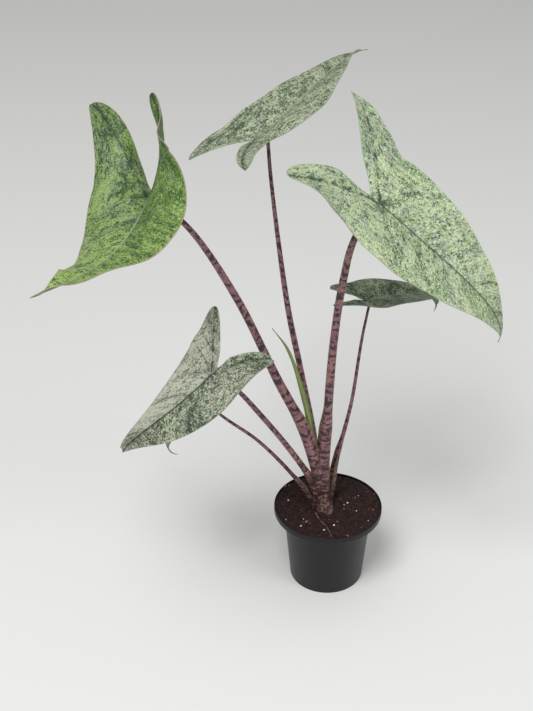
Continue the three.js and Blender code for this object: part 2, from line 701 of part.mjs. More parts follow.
function materialFor(name) {
  if (name === "pot") return material(COLOURS.pot, ROUGHNESS.pot);
  if (name === "soil") return material(COLOURS.soil, ROUGHNESS.soil);
  if (name === "rootstock") return material(COLOURS.corm, ROUGHNESS.corm);
  if (name === "surface_root") return material(COLOURS.root, ROUGHNESS.root);
  if (name === "new_leaf") return material(COLOURS.newLeaf, ROUGHNESS.blade);
  if (name === "old_scale") return material(COLOURS.oldScale, ROUGHNESS.stalk);
  const kind = name.endsWith("_blade") ? "blade" : "stalk";
  return material(COLOURS[kind], ROUGHNESS[kind]);
}

function build() {
  const { bodies, footprints } = plantBodies();
  bodies.pot = potBody();
  bodies.rootstock = cormBody();
  bodies.soil = carve(soilBody(), [cormBody(GAP), ...footprints]);
  bodies.surface_root = surfaceRootBody();
  const plant = new THREE.Group();
  for (const [name, body] of Object.entries(bodies)) {
    const mesh = new THREE.Mesh(toGeometry(body), materialFor(name));
    mesh.name = name;
    plant.add(mesh);
  }
  return plant;
}

export default build();
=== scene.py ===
"""Potted zebrina alocasia: the finish of a nursery pot, its mix and one plant, in metres, +Z up."""

import math
import random

import bmesh
import bpy
import numpy as np
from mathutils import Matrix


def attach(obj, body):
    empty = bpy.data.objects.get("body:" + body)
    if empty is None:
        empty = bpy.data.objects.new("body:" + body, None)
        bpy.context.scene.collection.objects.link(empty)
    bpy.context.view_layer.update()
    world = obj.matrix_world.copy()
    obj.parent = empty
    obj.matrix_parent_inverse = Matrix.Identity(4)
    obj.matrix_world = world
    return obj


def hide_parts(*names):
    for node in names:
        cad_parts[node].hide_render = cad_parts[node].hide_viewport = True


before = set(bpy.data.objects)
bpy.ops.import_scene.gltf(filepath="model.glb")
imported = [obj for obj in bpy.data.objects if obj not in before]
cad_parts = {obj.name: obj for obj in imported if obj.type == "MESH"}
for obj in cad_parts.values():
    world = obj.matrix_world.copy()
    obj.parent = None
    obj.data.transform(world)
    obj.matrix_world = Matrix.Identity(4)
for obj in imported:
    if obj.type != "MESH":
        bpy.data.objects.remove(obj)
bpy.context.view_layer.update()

bl_info = {
    "name": "Potted zebrina alocasia",
    "version": (1, 0, 0),
    "blender": (4, 5, 0),
    "location": "View3D > Sidebar > Alocasia",
    "description": "Builds a zebrina alocasia with speckled blades and barred stalks in its pot",
    "category": "Object",
}

MM = 0.001
BODY = "root"
# The photograph's view: the lens in millimetres, the place in metres and the degrees downwards
STANDING_VIEW = {"lens": 60, "sensor": 36, "place": (-0.0686, -1.047, 0.921), "down": 31.14}
# The stage in metres: the floor's half side, the lamps' places and width, and what they point at
STAGE = {"floor": 8.0, "key": (-0.9, -1.7, 3.3), "fill": (2.2, -1.6, 1.9), "lamp": 1.8,
         "aim": (-0.03, 0, 0.3)}

# Each leaf's joint is where its stalk meets the blade, in millimetres. Angles are in degrees.
# Heading is the midrib's compass angle from +X, pitch its rise and roll the blade's lean about it.
# Along the midrib, bend turns it towards the underside, sweep towards the left half and twist
# lifts the left half, and a higher late puts the turning nearer the tip. In each half, fold and
# curl are the angle at the midrib and the turn from there to the margin, at the joint, half way
# and at the tip. Stations hold a share of the stalk, its half width, its half depth and its
# sheath's wings.
LEAVES = {
    "high_left": {
        "joint": (-171, -95, 505), "heading": 262, "pitch": -4, "roll": 5,
        "length": 206, "halfWidth": 50, "tail": 8, "bridge": 13,
        "bend": -30, "sweep": -26, "twist": 73, "late": 0.8,
        "left": {
            "fold": (65, -12, -9), "curl": (-7, -17, -14), "pinch": -15,
            "lobe": 112, "spread": 28, "bend": -51, "sweep": -15, "twist": -74, "late": 0.8,
            "outer": 18, "inner": 12, "lobeFold": 32, "lobeCurl": 60, "innerFold": -35,
        },
        "right": {
            "fold": (33, 19, 80), "curl": (-45, -26, 39), "pinch": 35,
            "lobe": 106, "spread": 40, "bend": -65, "sweep": 20, "twist": -94, "late": 0.6,
            "outer": 28, "inner": 16, "lobeFold": -19, "lobeCurl": -10, "innerFold": -34,
        },
        "stalk": ((-4, -3, 76), (-8, -5, 120), (-15, -8, 154), (-32, -14, 212), (-57, -19, 270),
                  (-97, -43, 378), (-141, -76, 471), (-171, -95, 505)),
        "stations": ((0, 7.5, 7.5, 0), (0.12, 7.5, 7, 0.1), (0.28, 7, 5.8, 0.45),
                     (0.36, 5.4, 5, 0.05), (0.6, 4, 3.8, 0), (1, 2.4, 2.4, 0)),
    },
    "high_middle": {
        "joint": (-68, 43, 515), "heading": 53, "pitch": 18, "roll": -20,
        "length": 181, "halfWidth": 46, "tail": 10, "bridge": 11,
        "bend": 31, "sweep": 8, "twist": 13, "late": 3.5,
        "left": {
            "fold": (26, 11, 7), "curl": (-15, 4, -14),
            "lobe": 81, "spread": 41, "bend": 22, "sweep": 3, "twist": -17,
            "outer": 28, "inner": 10, "lobeFold": -3, "lobeCurl": -1, "innerFold": 19,
        },
        "right": {
            "fold": (36, 3, 37), "curl": (-65, 2, 19),
            "lobe": 115, "spread": 22, "bend": 27, "sweep": 27, "twist": -16,
            "outer": 19, "inner": 7, "lobeFold": -19, "lobeCurl": 28, "innerFold": 60,
        },
        "stalk": ((-6, 1, 76), (-12, 3, 130), (-20, 5, 190), (-32, 9, 261), (-47, 15, 338),
                  (-64, 31, 468), (-68, 43, 515)),
        "stations": ((0, 8, 8, 0), (0.12, 7, 7, 0.1), (0.25, 4.2, 4.2, 0.2),
                     (0.45, 3.2, 3.2, 0), (1, 1.8, 1.8, 0)),
    },
    "high_right": {
        "joint": (34, -55, 483), "heading": -2, "pitch": -42, "roll": 29,
        "length": 208, "halfWidth": 55, "tail": 8, "bridge": 11,
        "bend": 66, "sweep": 0, "twist": 6, "late": 4,
        "left": {
            "fold": (22, 16, 0), "curl": (-25, 6, -12),
            "lobe": 119, "spread": 50, "bend": 50, "sweep": 10, "twist": -39,
            "outer": 23, "inner": 16, "lobeFold": -8, "lobeCurl": 44, "innerFold": 4,
        },
        "right": {
            "fold": (19, 4, 14), "curl": (-33, -5, -2),
            "lobe": 120, "spread": 26, "bend": 8, "sweep": 24, "twist": 35,
            "outer": 28, "inner": 19, "lobeFold": -24, "lobeCurl": 37, "innerFold": 21,
        },
        "stalk": ((-2, -5, 76), (-6, -6, 120), (-7, -7, 154), (-5, -15, 210), (-2, -34, 323),
                  (4, -49, 400), (13, -61, 452), (34, -55, 483)),
        "stations": ((0, 8, 8, 0), (0.12, 7.5, 7.5, 0.1), (0.3, 6.2, 6, 0.4),
                     (0.4, 4.6, 4.5, 0.05), (0.7, 3.9, 3.9, 0), (1, 3, 3, 0)),
    },
    "low_right": {
        "joint": (41, 53, 326), "heading": 32, "pitch": -8, "roll": 17,
        "length": 130, "halfWidth": 30, "tail": 14, "bridge": 7,
        "bend": 87, "sweep": 9, "twist": 4, "late": 2,
        "left": {
            "fold": (5, 0, -10), "curl": (-15, -10, -25),
            "lobe": 45, "spread": 28, "bend": 0, "sweep": 3, "twist": -24,
            "outer": 19, "inner": 5, "lobeFold": 5, "lobeCurl": -10, "innerFold": 30,
        },
        "right": {
            "fold": (25, 20, 5), "curl": (0, 5, 0),
            "lobe": 61, "spread": 17, "bend": -12, "sweep": -8, "twist": 8,
            "outer": 19, "inner": 5, "lobeFold": 5, "lobeCurl": 5, "innerFold": 35,
        },
        "stalk": ((-2, 1, 76), (2, 2, 109), (8, 9, 149), (23, 24, 213), (33, 42, 284), (41, 53, 326)),
        "stations": ((0, 6, 6, 0), (0.12, 5, 5, 0.2), (0.32, 3, 3, 0.5), (0.42, 2.3, 2.3, 0),
                     (0.6, 1.9, 1.9, 0), (1, 1.4, 1.4, 0)),
    },
    "low_left": {
        "joint": (-122, -78, 314), "heading": 223, "pitch": -27, "roll": -71,
        "length": 149, "halfWidth": 33, "tail": 5, "bridge": 9,
        "bend": 87, "sweep": 5, "twist": 52, "late": 0,
        "left": {
            "fold": (38, -1, -30), "curl": (27, -11, -46),
            "lobe": 66, "spread": 22, "bend": 34, "sweep": 12, "twist": 44,
            "outer": 23, "inner": 9, "lobeFold": 10, "lobeCurl": 10, "innerFold": 54,
        },
        "right": {
            "fold": (-5, 46, 56), "curl": (-10, 28, 51),
            "lobe": 66, "spread": 44, "bend": -2, "sweep": 1, "twist": 16,
            "outer": 23, "inner": 9, "lobeFold": 16, "lobeCurl": 13, "innerFold": -8,
        },
        "stalk": ((-9, -5, 76), (-12, -5, 108), (-20, -7, 134), (-44, -20, 184), (-77, -42, 246),
                  (-100, -57, 285), (-122, -78, 314)),
        "stations": ((0, 5.5, 5.5, 0), (0.2, 4.6, 4.4, 0.35), (0.32, 3.4, 3.2, 0.1),
                     (0.6, 2.9, 2.8, 0), (1, 2, 2, 0)),
    },
    "small": {
        "joint": (-136, -6, 237), "heading": 201, "pitch": -35, "roll": -5,
        "length": 85, "halfWidth": 19, "tail": 12, "bridge": 6,
        "bend": 125, "sweep": 4, "twist": 0, "late": 1.8,
        "left": {
            "fold": (15, 10, 5), "curl": (-10, -5, -5),
            "lobe": 36, "spread": 25, "bend": 25, "sweep": 5, "twist": -5,
            "outer": 11, "inner": 5, "lobeFold": 0, "lobeCurl": 5, "innerFold": 20,
        },
        "right": {
            "fold": (15, 10, 5), "curl": (-10, -5, -5),
            "lobe": 36, "spread": 25, "bend": 25, "sweep": 5, "twist": -5,
            "outer": 11, "inner": 5, "lobeFold": 0, "lobeCurl": 5, "innerFold": 20,
        },
        "stalk": ((-12, -2, 76), (-20, -1, 104), (-41, -2, 138), (-78, -4, 184), (-112, -6, 214),
                  (-136, -6, 237)),
        "stations": ((0, 4, 4, 0), (0.2, 3.2, 3, 0.5), (0.35, 2.2, 2.1, 0.1), (0.7, 1.8, 1.8, 0),
                     (1, 1.4, 1.4, 0)),
    },
}

# How each blade is coloured. Speckle is the share of dark specks, fleck that of pale ones, cloud
# how much both gather in clouds. Cream and richer are pairs, for the right and left halves.
BLADE_LOOKS = {
    "high_left": {
        "slot": "blade_yellow_green", "light": "#7e9856", "mid": "#657f48", "dark": "#2f4925",
        "deep": "#233f2b", "fleck": "#9db473", "veil": "#75846a", "vein": "#93a285",
        "lateral": "#3d5643", "margin": "#ab9f8a", "speckle": 0.3, "flecks": 0.24, "cloud": 0.75,
        "young": 0.75, "veiled": 0.7, "shadow": 0.55, "cream": (0.0, 0.0), "richer": (0.0, 0.95),
    },
    "high_middle": {
        "slot": "blade_grey_green", "light": "#9aa686", "mid": "#7b8a69", "dark": "#314330",
        "deep": "#223628", "fleck": "#c2c6ae", "veil": "#8a9382", "vein": "#98a284",
        "lateral": "#485a45", "margin": "#a0a18a", "speckle": 0.36, "flecks": 0.34, "cloud": 0.5,
        "young": 0.0, "veiled": 0.4, "shadow": 0.3, "cream": (0.0, 0.0), "richer": (0.0, 0.0),
    },
    "high_right": {
        "slot": "blade_mint", "light": "#a6b78c", "mid": "#8ea47b", "dark": "#35502f",
        "deep": "#27452c", "fleck": "#ccd6b4", "veil": "#8b968c", "vein": "#37513a",
        "lateral": "#3f5940", "margin": "#9aae85", "speckle": 0.2, "flecks": 0.34, "cloud": 0.5,
        "young": 0.0, "veiled": 0.6, "shadow": 0.85, "cream": (0.0, 0.0), "richer": (0.0, 0.0),
    },
    "low_right": {
        "slot": "blade_dark_green", "light": "#6d7c5e", "mid": "#485b3d", "dark": "#1e2c18",
        "deep": "#1c2c1e", "fleck": "#959d84", "veil": "#6b7468", "vein": "#6d7962",
        "lateral": "#28361f", "margin": "#757f66", "speckle": 0.4, "flecks": 0.3, "cloud": 0.8,
        "young": 0.0, "veiled": 0.6, "shadow": 0.3, "cream": (0.0, 0.0), "richer": (0.0, 0.0),
    },
    "low_left": {
        "slot": "blade_cream_green", "light": "#8e9a7c", "mid": "#6a7a5f", "dark": "#253823",
        "deep": "#1d3322", "fleck": "#d6d9c4", "veil": "#8b9488", "vein": "#2b412c",
        "lateral": "#3d513c", "margin": "#a3a88d", "speckle": 0.38, "flecks": 0.42, "cloud": 0.6,
        "young": 0.0, "veiled": 0.5, "shadow": 0.4, "cream": (0.9, 0.0), "richer": (0.0, 0.0),
    },
    "small": {
        "slot": "blade_dark_green", "light": "#7c8a68", "mid": "#566b46", "dark": "#2f4228",
        "deep": "#223425", "fleck": "#a3a88d", "veil": "#6f786b", "vein": "#6d7962",
        "lateral": "#2b3a27", "margin": "#757f66", "speckle": 0.38, "flecks": 0.25, "cloud": 0.8,
        "young": 0.0, "veiled": 0.5, "shadow": 0.3, "cream": (0.0, 0.0), "richer": (0.0, 0.0),
    },
}
DRY = "#8a6b46"

# The grain of a blade: how many waves a metre, their detail and their roughness
GRAIN = {
    "cloud": (42, 3, 0.6), "dapple": (120, 3, 0.65), "coarse": (330, 2, 0.6),
    "middle": (640, 2, 0.7), "fine": (1250, 1, 0.6), "fleck": (520, 2, 0.7), "veil": (58, 3, 0.6),
    "fading": (34, 2, 0.5), "spots": (105, 3, 0.7, 0.9),
}
# Where a blade's markings start and end to fade, in metres: along the midrib from the joint, then
# from the margin, from the main veins and from the joint
CREAM_STARTS, CREAM_ENDS, YOUNG_STARTS = (-0.05, -0.005), (0.086, 0.1), (0.02, 0.1)
BORDER, VEINED_INSIDE = (0.0002, 0.0009), (0.001, 0.008)
MIDRIB, VEIN_SHADOW, LATERALS_FADE = (0.0004, 0.0015), (0.0008, 0.0045), (0.012, 0.036)
HALVES_MEET = 0.0008
# Specks and flecks show where their grain is above a level that their share lowers.
SPECK_LEVEL, SPECK_EDGE = 0.42, 0.13
STRANDS = 6.0
# The grain leans away from the midrib as it nears the tip, and is drawn out along the blade. The
# offsets give each grain a layer of its own.
LEAN = {"turn": 40.0, "most": 0.6, "drawnOut": 1.2}
COMBED_LAYER, FLECK_LAYER = 0.31, 0.77

# Blades, in millimetres: ribs reach their full height in a blade of the full rib width. Puffs rise
# between the laterals.
BLADE = {"ribWidth": 1.5, "fullRibWidth": 45, "ribTaper": 1.2, "grooveFrom": 4, "taper": 1.15,
         "tailHalfWidth": 1.2, "waveHeight": 0.7, "waveLength": 62, "pinchPlace": 0.84,
         "pinchSpan": 0.085, "flatFrom": 0.85, "laterals": 5, "lobeLaterals": 3,
         "lateralLean": 0.7, "lobeLateralLean": 0.6, "leanMore": 0.6, "lobePhase": 0.02}
# Shares of the midrib over which the puffs rise at the joint and sink at the tip, and how full they
# are and how near their highest line lies to the vein
PUFFS = {"from": 0.12, "until": 0.3, "fullness": 0.7, "towardsVein": 0.8}
BLADE_GRID = {"front": 110, "lobe": 64, "outer": 26, "inner": 12, "crowding": 1.15,
              "lobeCrowding": 1.5, "outerCrowding": 1.25, "innerCrowding": 1.2}
# Shares of a lobe's length by which it has narrowed, straightened its outer part by its
# straightening, folded, and spread its inner part
LOBE = {"narrowedBy": 0.8, "straightenedBy": 0.9, "straightening": 0.8, "foldedBy": 0.6,
        "innerBy": 0.5, "late": 0.5}
# A smaller turn than this counts as none. Points that agree to this many steps a millimetre are
# one point.
TINY = 1e-4
WELD_STEPS = 1000

# A stalk is shortened so that it ends inside its blade's vein, and its pattern is shifted from
# the one before. A path that rises by more than the upright share of its length is upright.
STALK_GRID = {"shortened": 1.5, "rings": 190, "sides": 56, "pattern": 0.21}
UPRIGHT = 0.3
PATH_STEPS = 40
# The wings are the sheath's two thin edges, in degrees about the stalk.
WING = {"middle": 270, "apart": 38, "width": 9, "colouring": 4}
# A bar is darkest out to one share of the bars' spacing from its middle, and gone at the other.
BARS = {"perMetre": 95, "darkest": 0.2, "edge": 0.3}
# How far up a stalk, in metres, the duller sheath starts to fade and is gone
SHEATH = (0.045, 0.12)

NEW_LEAF = {
    "path": ((-4, -3, 76), (-9, -5, 130), (-19, -9, 188), (-29, -14, 243), (-47, -20, 307),
             (-63, -23, 334)),
    "stations": ((0, 2.6, 2.4, 0), (0.3, 3, 2.8, 0), (0.62, 3.7, 2.9, 0), (0.85, 2, 1.6, 0),
                 (1, 0.35, 0.35, 0)),
    "overlap": 0.22, "seam": 250, "rings": 140, "sides": 72,
}
OLD_SCALE = {
    "path": ((-4, -7, 76), (-4, -8, 94), (-5, -9, 108), (-6, -9.5, 121)),
    "stations": ((0, 11, 9.5, 0), (0.4, 10.5, 8.6, 0), (0.7, 6, 6.4, 0), (1, 1, 3, 0)),
    "rings": 50, "sides": 48,
}
SURFACE_ROOT = {"points": ((-14, -14), (-11, -24), (-6, -34), (-1, -44), (1.5, -54)),
                "rings": 60, "sides": 16, "lumps": 0.1, "lumpTurns": 40, "lumpSpin": 9}

# Pot, in millimetres: a wide rim band above a shoulder, and a foot ring round the raised floor
POT = {"height": 94, "rim": 60, "band": 7, "shoulder": 48.5, "shoulderHeight": 82, "base": 41,
       "wall": 1.2, "floor": 2, "segments": 192, "slopeWidth": 1, "slopeDrop": 0.5,
       "innerRise": 0.7, "footWidth": 5, "footSlope": 1, "footRise": 0.9, "edge": 0.7, "crease": 40}
DRAIN = {"count": 6, "radius": 4, "ring": 27, "low": -2, "high": 4, "segments": 32}

# Potting mix, in millimetres: a low mound, whose sides clear the pot's wall and corners by these
# gaps and rises. Its lumps are waves in random directions, and calm down towards its edge.
SOIL = {"edge": 91.5, "mound": 1.5, "relief": 0.7, "reliefLength": 18, "reliefStretch": 1.2,
        "rings": 70, "sides": 220, "rimGap": 0.15, "wallGap": 0.3, "bandRise": 1.0,
        "shoulderRise": 0.8, "floorRise": 0.1}
LUMPS = {"height": 1.1, "count": 26, "shortest": 3, "longest": 14, "lowered": 4, "seed": 4,
         "calmWidth": 4, "calmLeast": 0.25}
# Where loose bits lie, as a share of the radius and millimetres from the pot's wall
STREWN = {"from": 0.2, "inside": 2.6, "rings": 22, "sides": 90}
# Each kind of loose bit: how many shapes it has, their first seed and their stretch, the smallest
# and largest size in millimetres, and the tilt
LOOSE = {
    "coir_crumbs": {"shapes": 4, "seed": 0, "stretch": (1.3, 1.0, 0.8), "sizes": (0.9, 3.2), "tilt": 0.9},
    "coir_fibres": {"shapes": 4, "seed": 10, "stretch": (4.5, 0.35, 0.3), "sizes": (0.7, 2.0), "tilt": 0.5},
    "fine_perlite": {"shapes": 3, "seed": 20, "stretch": (1, 1, 0.9), "sizes": (0.5, 1.1), "tilt": 0.9},
}
# A bit stretched by more than this is bent, by this share of its half length.
THREAD_STRETCH, THREAD_BEND = 3, 0.3
# White perlite grains and orange bark bits that lie where the photograph shows them, as x, y, size
SPOTS = {
    "perlite_grains": {
        "spots": ((-6, -43, 3.0), (5, -35.5, 2.6), (22, 3, 2.3), (31, 12, 2.3), (35, 16, 2.1),
                  (18, -1, 1.8), (-31, -36, 2.2), (-47, -25, 1.9), (-44, 8, 2.0), (31, -11, 1.6),
                  (43, -27, 1.6), (-28, -24, 1.5)),
        "stretch": (1, 0.85, 0.8), "seed": 40,
    },
    "bark_bits": {
        "spots": ((-47, 34, 4.5), (-43, 36, 3.5), (-25, -31, 4), (19, -53, 3.4), (50, -9, 3.2)),
        "stretch": (1, 0.6, 0.45), "seed": 60,
    },
}
# How high the middle of a bit lies above the mix, as a share of its size
SPOT_RISE = 0.45
# Edges that turn by more than this many degrees stay sharp.
CREASE = {"skin": 60, "mix": 70, "bits": 30, "drill": 40}
# How far a crumb's corners are pushed in or out, as shares of their radius
CRUMB_PUSH = (0.7, 1.2)
# A corner's arc takes up at most this share of the sides beside it.
ARC_SHARE = 0.45


# Small helpers
def linear(text):
    """A linear colour from its sRGB hex code."""
    parts = [int(text[i:i + 2], 16) / 255 for i in (1, 3, 5)]
    return tuple(c / 12.92 if c <= 0.04045 else ((c + 0.055) / 1.055) ** 2.4 for c in parts) + (1.0,)


def colour_of(setting):
    """A colour setting as a shader's colour."""
    return tuple(setting) + (1.0,)


def colour_setting(name, description, default):
    """A colour that a user can change, from its sRGB hex code."""
    return bpy.props.FloatVectorProperty(name=name, description=description, subtype="COLOR", size=3,
                                         min=0, max=1, default=linear(default)[:3])


def length_setting(name, description, millimetres):
    """A length that a user can change."""
    return bpy.props.FloatProperty(name=name, description=description, unit="LENGTH", min=0,
                                   precision=5, default=millimetres * MM)


def ease(x):
    """Runs smoothly from 0 to 1 and stays there."""
    x = np.clip(x, 0, 1)
    return x * x * (3 - 2 * x)


def blend(a, b, t):
    """A value between two, at a share of the way."""
    return a + (b - a) * t


def unit(v):
    """The direction of a vector."""
    return v / np.linalg.norm(v)


def make_mesh(name, points, faces, materials, face_materials, crease):
    """A smooth-shaded object from points in metres, with its faces turned outwards."""
    points = np.asarray(points, float)
    if signed_volume(points, faces) < 0:
        faces = [face[::-1] for face in faces]
    mesh = bpy.data.meshes.new(name)
    mesh.from_pydata(points.tolist(), [], faces)
    for material in materials:
        mesh.materials.append(material)
    if face_materials is not None:
        mesh.polygons.foreach_set("material_index", face_materials)
    mesh.polygons.foreach_set("use_smooth", [True] * len(mesh.polygons))
    mesh.set_sharp_from_angle(angle=math.radians(crease))
    mesh.update()
    return show(bpy.data.objects.new(name, mesh))


def show(piece):
    """Puts an object into the scene."""
    bpy.context.scene.collection.objects.link(piece)
    return piece


def signed_volume(points, faces):
    """The volume inside the faces, below zero where they face inwards."""
    fans = [(face[0], b, c) for face in faces for b, c in zip(face[1:-1], face[2:])]
    a, b, c = points[np.array(fans)].transpose(1, 0, 2)
    return float(np.einsum("ij,ij->", a, np.cross(b, c))) / 6


def settle(piece, slot, *nodes):
    """Fixes a finished piece to the plant's one body and hides the CAD parts that it takes the place of."""
    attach(piece, BODY)
    if nodes:
        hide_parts(*nodes)
    return piece


# Node building
class Wire:
    """A node's output. Arithmetic on it adds Math nodes."""

    def __init__(self, graph, socket):
        self.graph = graph
        self.socket = socket

    def math(self, operation, *others):
        """The result of a maths node, which takes this value first."""
        sockets = dict(enumerate((self,) + others))
        return self.graph.node("ShaderNodeMath", {"operation": operation}, sockets)

    def __add__(self, other):
        return self.math("ADD", other)

    __radd__ = __add__

    def __mul__(self, other):
        return self.math("MULTIPLY", other)

    __rmul__ = __mul__

    def __sub__(self, other):
        return self.math("SUBTRACT", other)

    def __rsub__(self, other):
        return self.graph.node("ShaderNodeMath", {"operation": "SUBTRACT"}, {0: other, 1: self})

    def __abs__(self):
        return self.math("ABSOLUTE")


class Graph:
    """A node tree under construction."""

    def __init__(self, tree):
        self.tree = tree

    def node(self, kind, settings=None, sockets=None, out=0):
        """Adds a node of a type, with its settings and its sockets' values or wires."""
        node = self.tree.nodes.new(kind)
        for key, value in (settings or {}).items():
            setattr(node, key, value)
        for key, value in (sockets or {}).items():
            if isinstance(value, Wire):
                self.tree.links.new(value.socket, node.inputs[key])
            else:
                node.inputs[key].default_value = value
        return Wire(self, node.outputs[out]) if node.outputs else node


class Paint(Graph):
    """One material under construction."""

    def __init__(self, name):
        self.material = bpy.data.materials.new(name)
        self.material.use_nodes = True
        super().__init__(self.material.node_tree)
        self.tree.nodes.clear()

    def split(self, wire):
        """The three numbers of a vector."""
        node = self.node("ShaderNodeSeparateXYZ", None, {0: wire}).socket.node
        return [Wire(self, output) for output in node.outputs]

    def join(self, x, y, z):
        """A vector of three numbers."""
        return self.node("ShaderNodeCombineXYZ", None, {0: x, 1: y, 2: z})

    def attribute(self, name):
        """A vector that the mesh stores for the shader."""
        return self.node("ShaderNodeAttribute", {"attribute_name": name}, None, "Vector")

    def place(self):
        """The place in the object's own frame, in metres."""
        return self.node("ShaderNodeTexCoord", None, None, "Object")

    def noise(self, vector, scale, detail=2.0, roughness=0.5, distortion=0.0):
        """Smooth noise from 0 to 1."""
        sockets = {"Vector": vector, "Scale": scale, "Detail": detail, "Roughness": roughness,
                   "Distortion": distortion}
        return self.node("ShaderNodeTexNoise", None, sockets)

    def band(self, value, low, high):
        """0 below low, 1 above high and smooth between them."""
        return self.node("ShaderNodeMapRange", {"interpolation_type": "SMOOTHSTEP"},
                         {0: value, 1: low, 2: high, 3: 0.0, 4: 1.0})

    def under(self, value, low, high):
        """1 below low, 0 above high and smooth between them."""
        return 1 - self.band(value, low, high)

    def mix(self, factor, a, b):
        """One colour turning into another as the factor goes from 0 to 1."""
        return self.node("ShaderNodeMix", {"data_type": "RGBA"}, {0: factor, 6: a, 7: b}, 2)

    def bump(self, height, strength, distance):
        """A normal that makes the surface look as high and low as the given height."""
        sockets = {"Height": height, "Strength": strength, "Distance": distance}
        return self.node("ShaderNodeBump", None, sockets)

    def finish(self, colour, roughness, normal=None, **fixed):
        """Ends the material in its shader. The fixed sockets hold one value all over."""
        sockets = {"Base Color": colour, "Roughness": roughness}
        if normal is not None:
            sockets["Normal"] = normal
        sockets.update({key.replace("_", " "): value for key, value in fixed.items()})
        shader = self.node("ShaderNodeBsdfPrincipled", None, sockets)
        self.node("ShaderNodeOutputMaterial", None, {0: shader})
        return self.material


